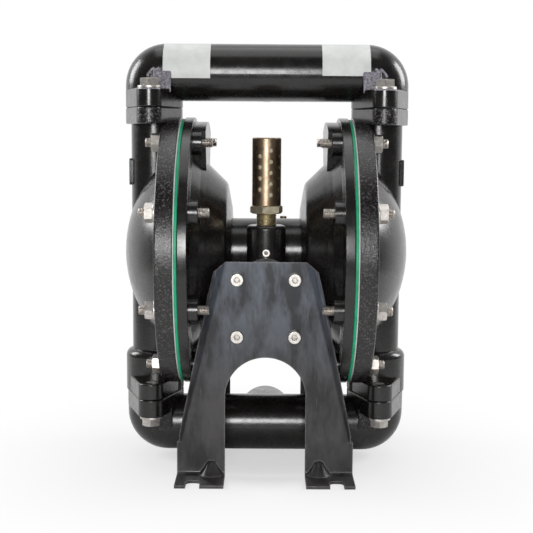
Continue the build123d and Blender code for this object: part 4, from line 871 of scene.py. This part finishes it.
# %% Bare plates on the tube
def bare_plate(name, low_x, high_x, low_angle, high_angle):
    """A thin curved plate on the tube, between two angles above the horizontal."""
    columns, rows = 8, 16
    bpy.ops.mesh.primitive_grid_add(x_subdivisions=columns, y_subdivisions=rows)
    sheet = bpy.context.object
    sheet.name = name
    for k, vertex in enumerate(sheet.data.vertices):
        x = low_x + (high_x - low_x) * (k % (columns + 1)) / columns
        a = radians(low_angle + (high_angle - low_angle) * (k // (columns + 1)) / rows)
        vertex.co = at(x, -(TUBE_R + 0.2 * mm) * cos(a), TUBE_Z + (TUBE_R + 0.2 * mm) * sin(a))
    clean(sheet)
    outward = sum(p.normal.dot(-Y_WAY) for p in sheet.data.polygons) > 0
    if not outward:
        sheet.data.flip_normals()
    return apply(sheet, "SOLIDIFY", thickness=0.19 * mm, offset=-1)


bare_plates = [
    bare_plate("left_bare_plate", -108 * mm, -59 * mm, -14, 78),
    bare_plate("right_bare_plate", 57 * mm, 107 * mm, -8, 78),
]
print("bare plates", [piece.name for piece in bare_plates])

# %% [markdown]
# Every finish starts from the same few nodes. Noise on Object coordinates stays put when a piece
# moves, because each object sits at the origin. A noise pattern is stretched onto a range of values,
# which mixes two colours, varies the roughness, or lifts the surface through a Bump node.

# %% Material helpers
def wire(tree, kind, inputs, **settings):
    """Adds a node, sets its properties, and fills or links its inputs."""
    node = tree.nodes.new(kind)
    for key, value in settings.items():
        setattr(node, key, value)
    for key, value in inputs.items():
        if isinstance(value, bpy.types.NodeSocket):
            tree.links.new(value, node.inputs[key])
        else:
            node.inputs[key].default_value = value
    return node


def coordinates(tree, stretch=(1, 1, 1)):
    """Object coordinates, stretched along each axis."""
    place = wire(tree, "ShaderNodeTexCoord", {}).outputs["Object"]
    return wire(tree, "ShaderNodeMapping", {"Vector": place, "Scale": stretch}).outputs["Vector"]


def blotches(tree, size, detail=3.0, stretch=(1, 1, 1)):
    """Noise whose blobs are about this size."""
    place = coordinates(tree, stretch)
    settings = {"Vector": place, "Scale": 1 / size, "Detail": detail, "Roughness": 0.6}
    return wire(tree, "ShaderNodeTexNoise", settings).outputs["Fac"]


def stretched(tree, pattern, start, end, low, high):
    """Turns the start to end part of a pattern into values from low to high."""
    numbers = {"Value": pattern, 1: start, 2: end, 3: low, 4: high}
    return wire(tree, "ShaderNodeMapRange", numbers).outputs["Result"]


def mixed(tree, pattern, first, second):
    """A colour between two colours. Each is a colour or another mix."""
    colours = [c if isinstance(c, bpy.types.NodeSocket) else (*c, 1) for c in (first, second)]
    inputs = {0: pattern, 6: colours[0], 7: colours[1]}
    return wire(tree, "ShaderNodeMix", inputs, data_type="RGBA").outputs[2]


def relief(tree, pattern, depth, strength=1.0, under=None):
    """A normal lifted by a pattern, on top of another relief."""
    inputs = {"Height": pattern, "Distance": depth, "Strength": strength}
    if under:
        inputs["Normal"] = under
    return wire(tree, "ShaderNodeBump", inputs).outputs["Normal"]


def edge_wear_and_highlight(tree, radius):
    """A pattern that is 1 along sharp edges and 0 on open faces."""
    soft = wire(tree, "ShaderNodeBevel", {"Radius": radius}, samples=4).outputs["Normal"]
    plain = wire(tree, "ShaderNodeNewGeometry", {}).outputs["Normal"]
    match = wire(tree, "ShaderNodeVectorMath", {0: soft, 1: plain}, operation="DOT_PRODUCT")
    return stretched(tree, match.outputs["Value"], 0.97, 0.8, 0, 1)


def finish(name, colour, roughness, normal, tree, **plain):
    """Closes a material: wires colour, roughness and normal, and sets the plain numbers."""
    shader = tree.nodes["Principled BSDF"]
    for key, value in (("Base Color", colour), ("Roughness", roughness), ("Normal", normal)):
        tree.links.new(value, shader.inputs[key])
    for key, value in plain.items():
        shader.inputs[key.replace("_", " ")].default_value = value
    print("finish", name, "with", len(tree.nodes), "nodes")


def new_finish(name):
    """An empty material and its node tree."""
    made = bpy.data.materials.new(name)
    made.use_nodes = True
    return made, made.node_tree


print("material helpers ready")

# %% [markdown]
# The castings carry a thick gloss black coat. It flows into an orange-peel skin over slightly uneven
# metal, and dust and hands dull it in patches. A clear coat on top keeps the highlights tight while
# the layer under it is rougher, as real enamel looks.

# %% Gloss black coat
gloss_black, tree = new_finish("gloss_black_coat")
patches = blotches(tree, 22 * mm, 4)
colour = mixed(
    tree, stretched(tree, patches, 0.35, 0.65, 0, 1), (0.005, 0.0044, 0.0042), (0.011, 0.0095, 0.009)
)
dulling = stretched(tree, blotches(tree, 9 * mm, 5), 0.35, 0.7, 0.2, 0.32)
uneven = relief(tree, blotches(tree, 15 * mm, 2), 0.4 * mm, 0.2)
peel = relief(tree, blotches(tree, 1.9 * mm, 2), 0.03 * mm, 0.35, uneven)
finish("gloss black coat", colour, dulling, peel, tree, Coat_Weight=0.3, Coat_Roughness=0.18)

# %% [markdown]
# Cap rims, lugs and gussets keep the grain of the sand mould, because nobody dresses them. The tops of
# the grains are painted paler than the hollows, as painted highlights, and a strong fine relief makes
# those that face a lamp sparkle. The gussets that face upwards are painted paler still, as painted light
# from above.

# %% Sand-cast skin
def sand_cast(name, hollows, glint_tops, first_top, last_top):
    """A glossy coat over mould grain, whose grain tops are painted paler than the hollows as painted
    highlights.
    """
    made, tree = new_finish(name)
    patches = stretched(tree, blotches(tree, 28 * mm, 3), 0.35, 0.65, 0.6, 1)
    grains = blotches(tree, 1.9 * mm, 4)
    tipped = stretched(tree, grains, first_top, last_top, 0, 1)
    painted_glint = wire(tree, "ShaderNodeMath", {0: patches, 1: tipped}, operation="MULTIPLY").outputs[0]
    colour = mixed(tree, painted_glint, hollows, glint_tops)
    dulling = stretched(tree, blotches(tree, 5 * mm, 4), 0.35, 0.7, 0.18, 0.3)
    uneven = relief(tree, blotches(tree, 8 * mm, 3), 0.4 * mm, 0.3)
    grain = relief(tree, grains, 0.55 * mm, 0.8, uneven)
    finish(name, colour, dulling, grain, tree, Coat_Weight=0.2, Coat_Roughness=0.2)
    return made


# The paler grain tops of the sand-cast coat are painted highlights.
cast_black = sand_cast("sand_cast_coat", (0.007, 0.006, 0.0057), (0.16, 0.143, 0.148), 0.53, 0.72)
# This pale coat for the upward-facing gussets is painted light from above.
lit_gusset_coat = sand_cast("lit_gusset_cast_coat", (0.13, 0.12, 0.14), (0.46, 0.44, 0.5), 0.4, 0.64)

# %% [markdown]
# The brackets are sheet steel with a thin blue-grey coat. Rubbing leaves large soft smudges and a few
# long faint scratches. Towards the top the coat is painted lighter and bluer, as painted light from above.
# Along the cut edges bare metal comes through in chips, under a painted highlight, and the bends carry a
# faint painted highlight as well.

# %% Bracket coat
bracket_grey, tree = new_finish("bracket_coat")
height = wire(tree, "ShaderNodeSeparateXYZ", {0: coordinates(tree)}).outputs["Z"]
# Painted light: the coat is painted lighter and bluer towards the top, as light from above falls there.
painted_top_light = stretched(tree, height, 90 * mm, 200 * mm, 0, 1)
smudges = stretched(tree, blotches(tree, 24 * mm, 5, (1.4, 1, 0.5)), 0.4, 0.62, 0, 1)
base = mixed(tree, smudges, (0.016, 0.0145, 0.015), (0.05, 0.047, 0.05))
lit_top_colour = mixed(tree, smudges, (0.026, 0.028, 0.034), (0.105, 0.123, 0.156))
top_lit_coat = mixed(tree, painted_top_light, base, lit_top_colour)
scratches = blotches(tree, 30 * mm, 6, (14, 1, 0.8))
rubbed = mixed(tree, stretched(tree, scratches, 0.64, 0.72, 0, 0.6), top_lit_coat, (0.16, 0.16, 0.17))
# Along edges and bends the colour is lifted: chipped wear plus a painted highlight, fainter on the bends.
edges = edge_wear_and_highlight(tree, 0.8 * mm)
painted_bend_highlight = wire(tree, "ShaderNodeMath", {0: edge_wear_and_highlight(tree, 3.5 * mm), 1: 0.35}, operation="MULTIPLY")
both = wire(tree, "ShaderNodeMath", {0: edges, 1: painted_bend_highlight.outputs[0]}, operation="MAXIMUM").outputs[0]
chipped = stretched(tree, blotches(tree, 6 * mm, 4), 0.35, 0.6, 0.3, 1)
wear_and_highlight = wire(tree, "ShaderNodeMath", {0: both, 1: chipped}, operation="MULTIPLY").outputs[0]
colour = mixed(tree, wear_and_highlight, rubbed, (0.34, 0.32, 0.31))
dulling = stretched(tree, smudges, 0, 1, 0.28, 0.46)
uneven = relief(tree, blotches(tree, 14 * mm, 3), 0.3 * mm, 0.3)
grain = relief(tree, blotches(tree, 0.9 * mm, 3), 0.06 * mm, 0.4, uneven)
finish("bracket coat", colour, dulling, grain, tree)

# %% [markdown]
# Bolts, nuts and washers are zinc plated: a pale warm grey that is mottled by handling. Threads and
# sockets are painted dark as painted shade, where an Ambient Occlusion node finds them. The studs share the
# plating.
# The ground rods and turned plates are cleaner, with fine rings left by the lathe, which a noise
# squeezed along one axis gives.

# %% Zinc, ground steel and turned aluminium
def painted_hollow_shade(tree, reach):
    """A pattern of painted shade that is 1 deep in grooves and sockets and 0 on open faces."""
    hollow = wire(tree, "ShaderNodeAmbientOcclusion", {"Distance": reach}, samples=6, only_local=True)
    return stretched(tree, hollow.outputs["AO"], 0.25, 0.68, 1, 0)


zinc, tree = new_finish("zinc_plating")
mottle = stretched(tree, blotches(tree, 3.5 * mm, 4), 0.35, 0.65, 0, 1)
plated = mixed(tree, mottle, (0.54, 0.505, 0.47), (0.74, 0.705, 0.67))
stains = stretched(tree, blotches(tree, 7 * mm, 5), 0.58, 0.74, 0, 0.6)
stained = mixed(tree, stains, plated, (0.3, 0.25, 0.19))
# Painted shade: threads and sockets are darkened where the Ambient Occlusion pattern finds hollows.
colour = mixed(tree, painted_hollow_shade(tree, 3.5 * mm), stained, (0.05, 0.044, 0.04))
dulling = stretched(tree, blotches(tree, 1.6 * mm, 4), 0.35, 0.7, 0.34, 0.52)
grain = relief(tree, blotches(tree, 0.7 * mm, 3), 0.05 * mm, 0.5)
finish("zinc plating", colour, dulling, grain, tree, Metallic=1.0)


def turned_metal(name, dark, light, smooth, dull, squeeze):
    """A machined metal whose fine rings run across X."""
    made, tree = new_finish(name)
    rings = blotches(tree, 9 * mm, 5, squeeze)
    colour = mixed(tree, stretched(tree, rings, 0.35, 0.65, 0, 1), dark, light)
    haze = stretched(tree, blotches(tree, 12 * mm, 3), 0.35, 0.65, smooth, dull)
    finish(name, colour, haze, relief(tree, rings, 0.03 * mm, 0.5), tree, Metallic=1.0)
    return made


ground_steel = turned_metal("ground_steel", (0.5, 0.5, 0.51), (0.6, 0.6, 0.61), 0.16, 0.28, (20, 1, 1))
turned_aluminium = turned_metal(
    "turned_aluminium", (0.54, 0.54, 0.55), (0.68, 0.68, 0.69), 0.26, 0.4, (1, 18, 18)
)

# %% [markdown]
# The silencer's shell is brass that has gone brown in store, while its fitting was cleaned when it was
# screwed in. Tarnish gathers in clouds, and the higher, rubbed places stay golden. The bevelled rims of
# the drilled holes get a plain dark brown finish. The bronze sleeve inside the shell is made of tiny
# balls sintered together, so a fine Voronoi pattern gives its relief and its colour, with painted shade
# in the gaps between the balls, and it shows as pale dots in the holes.

# %% Aged brass and porous bronze
aged_brass, tree = new_finish("aged_brass")
clouds = stretched(tree, blotches(tree, 10 * mm, 5, (1, 1, 0.5)), 0.36, 0.66, 0, 1)
tarnish = mixed(tree, clouds, (0.27, 0.19, 0.125), (0.47, 0.36, 0.25))
edges = edge_wear_and_highlight(tree, 0.6 * mm)
colour = mixed(tree, stretched(tree, edges, 0, 1, 0, 0.6), tarnish, (0.62, 0.52, 0.36))
dulling = stretched(tree, blotches(tree, 4 * mm, 4), 0.35, 0.7, 0.3, 0.46)
rings = relief(tree, blotches(tree, 6 * mm, 3, (1, 1, 12)), 0.04 * mm, 0.5)
finish("aged brass", colour, dulling, rings, tree, Metallic=1.0)

bright_brass, tree = new_finish("bright_brass")
clouds = stretched(tree, blotches(tree, 6 * mm, 4), 0.36, 0.66, 0, 1)
fresh = mixed(tree, clouds, (0.58, 0.51, 0.36), (0.76, 0.7, 0.53))
# Painted shade: the fitting's thread and corners are darkened where the Ambient Occlusion pattern finds
# hollows.
colour = mixed(tree, painted_hollow_shade(tree, 1.5 * mm), fresh, (0.16, 0.11, 0.06))
dulling = stretched(tree, blotches(tree, 3 * mm, 4), 0.35, 0.7, 0.42, 0.56)
skin = relief(tree, blotches(tree, 1 * mm, 3), 0.04 * mm, 0.5)
finish("bright brass", colour, dulling, skin, tree, Metallic=1.0)

# A plain dark brown finish for the bevelled rims of the drilled holes.
tarnish, tree = new_finish("tarnish")
clouds = stretched(tree, blotches(tree, 2 * mm, 3), 0.36, 0.66, 0, 1)
colour = mixed(tree, clouds, (0.03, 0.022, 0.014), (0.1, 0.075, 0.045))
dulling = stretched(tree, blotches(tree, 1.5 * mm, 3), 0.35, 0.7, 0.5, 0.7)
skin = relief(tree, blotches(tree, 0.8 * mm, 3), 0.05 * mm, 0.5)
finish("tarnish", colour, dulling, skin, tree, Metallic=0.6)

porous_bronze, tree = new_finish("porous_bronze")
BALL_SIZE = 0.8 * mm
cells = wire(tree, "ShaderNodeTexVoronoi", {"Vector": coordinates(tree), "Scale": 1 / BALL_SIZE})
balls = stretched(tree, cells.outputs["Distance"], 0.1, 0.7, 1, 0)
# Painted shade: the gaps between the balls are darker and the middles of the balls paler.
painted_pore_shade = mixed(tree, balls, (0.5, 0.45, 0.31), (0.82, 0.78, 0.6))
tint = stretched(tree, blotches(tree, 12 * mm, 3), 0.4, 0.7, 0, 0.4)
colour = mixed(tree, tint, painted_pore_shade, (0.62, 0.54, 0.36))
dulling = stretched(tree, balls, 0, 1, 0.75, 0.45)
finish("porous bronze", colour, dulling, relief(tree, balls, 0.15 * mm, 0.6), tree, Metallic=0.25)

# %% [markdown]
# The rubber and the plastics share one recipe with their own colours. They differ in how far the
# colour drifts, how dull they are, and how deep their moulded grain is.

# %% Rubber, plastics and bare paper
def moulded(name, dark, light, smooth, dull, grain_size, grain_depth, **plain):
    """A moulded material with soft colour drift and a fine grain."""
    made, tree = new_finish(name)
    drift = stretched(tree, blotches(tree, 16 * mm, 5), 0.35, 0.65, 0, 1)
    colour = mixed(tree, drift, dark, light)
    dulling = stretched(tree, blotches(tree, 6 * mm, 4), 0.35, 0.7, smooth, dull)
    skin = relief(tree, blotches(tree, grain_size, 3), grain_depth, 0.6)
    finish(name, colour, dulling, skin, tree, **plain)
    return made


green_rubber = moulded(
    "green_rubber", (0.0, 0.29, 0.125), (0.003, 0.4, 0.19), 0.38, 0.55, 1.2 * mm, 0.08 * mm
)
white_facing = moulded(
    "white_facing", (0.56, 0.58, 0.59), (0.7, 0.72, 0.73), 0.3, 0.45, 2 * mm, 0.04 * mm
)
seat_plastic = moulded(
    "seat_plastic", (0.7, 0.68, 0.62), (0.8, 0.79, 0.74), 0.35, 0.5, 1.5 * mm, 0.04 * mm
)
ball_plastic = moulded("ball_plastic", (0.8, 0.8, 0.77), (0.88, 0.88, 0.86), 0.2, 0.3, 3 * mm, 0.03 * mm)
bushing_plastic = moulded(
    "bushing_plastic", (0.6, 0.57, 0.48), (0.71, 0.69, 0.6), 0.4, 0.55, 1 * mm, 0.04 * mm
)
black_seal = moulded(
    "black_seal", (0.012, 0.012, 0.012), (0.025, 0.025, 0.026), 0.4, 0.6, 1 * mm, 0.05 * mm
)
gasket_sheet = moulded(
    "gasket_sheet", (0.035, 0.036, 0.04), (0.065, 0.066, 0.07), 0.6, 0.8, 0.7 * mm, 0.1 * mm
)
bare_paper = moulded(
    "bare_paper", (0.64, 0.66, 0.645), (0.75, 0.765, 0.75), 0.4, 0.6, 5 * mm, 0.06 * mm
)

# %% [markdown]
# Smooth shading hides the facets of turned pieces, and the Weighted Normal modifier keeps big flat
# faces flat beside their small bevels. Rims, lugs and gussets are picked out by place and by the way
# they face, and get the sand-cast skin as a second material.

# %% Shading and finishes on the castings
def smooth(piece, angle=38):
    """Smooth shading up to an angle, with the larger faces leading."""
    pick(piece)
    bpy.ops.object.shade_smooth_by_angle(angle=radians(angle))
    return apply(piece, "WEIGHTED_NORMAL", keep_sharp=True, weight=60)


def paint(material, *objects):
    """Gives whole pieces or CAD nodes one material."""
    for one in objects:
        if not one.material_slots:
            one.data.materials.append(material)
        for slot in one.material_slots:
            slot.material = material


def rough_rims(piece):
    """Gives a casting's rims and gussets the sand-cast skin, painted paler as painted light where a gusset
    faces up.
    """
    piece.data.materials.append(cast_black)
    piece.data.materials.append(lit_gusset_coat)
    rough = 0
    for face in piece.data.polygons:
        across, side, height = abs(face.center.x), abs(face.center.y), face.center.z - AXIS_Z
        reach = sqrt(side ** 2 + height ** 2)
        outward = (face.normal.y * face.center.y + face.normal.z * height) / reach
        rim = outward > 0.8 and RIM_R - 2.5 * mm < reach < RIM_R + mm and across < 109 * mm
        gusset = across > 95 * mm and abs(abs(height) - TUBE_Z + 9 * mm) < 12 * mm
        front = abs(face.normal.y) > 0.5 and side > TUBE_R - mm
        lug = 0 < height < JOINT_Z and height > JOINT_Z - 17.5 * mm and side > LUG_Y - 2 * mm
        if rim or (front and (gusset or lug)):
            # Gusset faces that point upwards get the pale coat, as painted light from above.
            face.material_index = 2 if gusset and face.normal.z > 0.1 else 1
            rough += 1
    return rough


castings = [outlet_casting, inlet_casting, fluid_casting_right, fluid_casting_left]
castings += [valve_casting, pilot_casting, barrel_casting, *air_castings]
for piece in castings:
    smooth(piece)
    paint(gloss_black, piece)
for piece in castings[:4]:
    print(piece.name, "rough faces", rough_rims(piece))

# %% [markdown]
# The other pieces take one finish each. The pieces inside the pump are still CAD nodes, and get the
# finish of their real part, since they show in cut-away views.

# %% Finishes on the other pieces
def dress(material, slot, *new_pieces):
    """Smooth shading and one finish for new pieces; the slot argument is not used."""
    for piece in new_pieces:
        smooth(piece)
        paint(material, piece)


dress(bracket_grey, "bracket_coat", *brackets)
dress(zinc, "zinc_steel", *steel_sets, exhaust_screw_plug)
dress(aged_brass, "aged_brass", shell, vent_stub)
dress(bright_brass, "aged_brass", fitting)
dress(green_rubber, "green_rubber", *rubber_pieces)
dress(white_facing, "white_facing", *facing_pieces)
dress(bare_paper, "seat_plastic", *bare_plates)

# The bevelled rims of the drilled holes get the plain dark brown finish.
shell.data.materials.append(tarnish)
shell_axis = silencer_place.translation
for face in shell.data.polygons:
    spoke = (face.center - shell_axis) * Vector((1, 1, 0))
    radial = spoke.normalized().dot(face.normal)
    outer_ring = 14.2 * mm < spoke.length < 14.69 * mm
    if outer_ring and radial < 0.95 and SHELL_Z + 2 * mm < face.center.z - AXIS_Z < 117 * mm:
        face.material_index = 1

INNER = {
    porous_bronze: ["silencer_sleeve"],
    ground_steel: ["diaphragm_rod", "pilot_rod", "valve_spool"],
    turned_aluminium: ["inner_plate_left", "inner_plate_right", "outer_plate_left", "outer_plate_right"],
    zinc: ["plate_screws", "air_cap_screws", "valve_end_rings"],
    seat_plastic: ["inlet_seats", "outlet_seats"],
    ball_plastic: [f"{way}_ball_{side}" for way in ("inlet", "outlet") for side in SIDES],
    bushing_plastic: ["rod_bushings", "pilot_bushings", "valve_end_plugs"],
    black_seal: ["rod_seals", "inlet_seat_rings", "outlet_seat_rings"],
    gasket_sheet: ["main_valve_gasket", "pilot_gasket"],
}
for material, names in INNER.items():
    paint(material, *[frame["nodes"][name] for name in names])
dressed = {name for names in INNER.values() for name in names}
shown = {piece.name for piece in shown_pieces()}
print("CAD nodes still shown:", len(dressed & shown), "without a finish:",
      sorted(name for name in frame["nodes"] if name in shown and name not in dressed))

# %% [markdown]
# Every piece has to ride on a body, so that it goes along when a joint moves. The fold sectors of the
# diaphragms and their middles were tied to their bodies above. Everything else is fixed to the pump.

# %% Riding on the pump
fixed = [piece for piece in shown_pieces() if body_of(piece) is None]
for piece in fixed:
    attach(piece, ROOT)

# %% [markdown]
# The camera stands a little over a metre in front of the pump, above its middle, and looks slightly
# down. A long lens keeps the manifolds straight. The tiny roll is the photographer's own.

# %% Camera
lens = bpy.data.cameras.new("lens")
lens.lens, lens.sensor_width = 74.3, 36
camera = bpy.data.objects.new("camera", lens)
bpy.context.scene.collection.objects.link(camera)
camera.location = (-0.0004, -1.18, 0.346)
camera.rotation_euler = (radians(90 - 6.7), radians(-0.36), 0)
bpy.context.scene.camera = camera
print("camera height", camera.location.z, "lens", lens.lens)

# %% [markdown]
# The pump stands on a white table that runs into a white backdrop. Near the pump the floor is plain
# diffuse paint, so it keeps the shadow. Further out the camera sees pure white instead, through Light
# Path, and the world behind does the same, so no horizon shows.

# %% Floor and backdrop
bpy.ops.mesh.primitive_circle_add(vertices=96, radius=1, fill_type="NGON")
floor = bpy.context.object
floor.name = "floor"
white, tree = new_finish("white_floor")
tree.nodes.remove(tree.nodes["Principled BSDF"])
place = wire(tree, "ShaderNodeTexCoord", {}).outputs["Object"]
away = wire(tree, "ShaderNodeVectorMath", {0: place}, operation="LENGTH").outputs["Value"]
fade = stretched(tree, away, 0.08, 0.36, 0.55, 1)
path = wire(tree, "ShaderNodeLightPath", {})
back = wire(tree, "ShaderNodeSeparateXYZ", {0: place}).outputs["Y"]
behind = stretched(tree, back, 0.4, 0.9, 0, 1)
mirrored = wire(
    tree, "ShaderNodeMath", {0: path.outputs["Is Glossy Ray"], 1: behind}, operation="MULTIPLY"
)
seen = wire(
    tree, "ShaderNodeMath", {0: path.outputs["Is Camera Ray"], 1: mirrored.outputs[0]},
    operation="MAXIMUM",
)
seen = wire(
    tree, "ShaderNodeMath", {0: seen.outputs[0], 1: path.outputs["Is Transmission Ray"]},
    operation="MAXIMUM",
)
amount = wire(tree, "ShaderNodeMath", {0: seen.outputs[0], 1: fade}, operation="MULTIPLY")
paint_layer = wire(tree, "ShaderNodeBsdfDiffuse", {"Color": (0.8, 0.8, 0.8, 1)})
glow = wire(tree, "ShaderNodeEmission", {"Strength": 1.0})
both = wire(
    tree, "ShaderNodeMixShader",
    {0: amount.outputs[0], 1: paint_layer.outputs[0], 2: glow.outputs[0]},
)
tree.links.new(both.outputs[0], tree.nodes["Material Output"].inputs["Surface"])
floor.data.materials.append(white)

world = bpy.data.worlds.new("studio")
world.use_nodes = True
bpy.context.scene.world = world
tree = world.node_tree
path = wire(tree, "ShaderNodeLightPath", {})
way = wire(tree, "ShaderNodeTexCoord", {}).outputs["Generated"]
depth = wire(tree, "ShaderNodeSeparateXYZ", {"Vector": way}).outputs["Y"]
reflected = stretched(tree, depth, 0.0, 0.6, 0.1, 1.0)
clear = wire(
    tree, "ShaderNodeMath",
    {0: path.outputs["Is Camera Ray"], 1: path.outputs["Is Transmission Ray"]}, operation="MAXIMUM",
)
FILL = 0.3
glossy = wire(
    tree, "ShaderNodeMix", {0: path.outputs["Is Glossy Ray"], 2: FILL, 3: reflected}, data_type="FLOAT"
)
seen = {0: clear.outputs[0], 2: glossy.outputs[0], 3: 1.0}
level = wire(tree, "ShaderNodeMix", seen, data_type="FLOAT")
tree.links.new(level.outputs[0], tree.nodes["Background"].inputs["Strength"])
tree.nodes["Background"].inputs["Color"].default_value = (1, 1, 1, 1)
print("floor and backdrop ready")

# %% [markdown]
# Four softboxes light the pump. The front one stands beside the camera and draws the bright line along
# the tubes. One on each side fills the elbows and the domes, and a weak one hangs overhead.

# %% Lamps
def softbox(name, place, aim, width, height, power):
    """An area lamp that points from its place towards an aim."""
    lamp = bpy.data.lights.new(name, "AREA")
    lamp.shape, lamp.size, lamp.size_y, lamp.energy = "RECTANGLE", width, height, power
    holder = bpy.data.objects.new(name, lamp)
    bpy.context.scene.collection.objects.link(holder)
    holder.location = place
    holder.rotation_euler = (Vector(aim) - Vector(place)).to_track_quat("-Z", "Y").to_euler()
    return holder


middle = (0, 0, AXIS_Z)
softbox("front_box", (-0.12, -1.75, 0.52), middle, 0.5, 0.45, 14)
softbox("left_box", (-1.45, 0.3, 0.95), middle, 0.6, 0.9, 16)
softbox("right_box", (1.45, 0.3, 0.95), middle, 0.6, 0.9, 16)
softbox("overhead_box", (0, 0, 1.9), middle, 1.4, 1.4, 8)
bpy.context.scene.view_settings.view_transform = "Standard"
print("lamps", [lamp.name for lamp in bpy.data.lights])
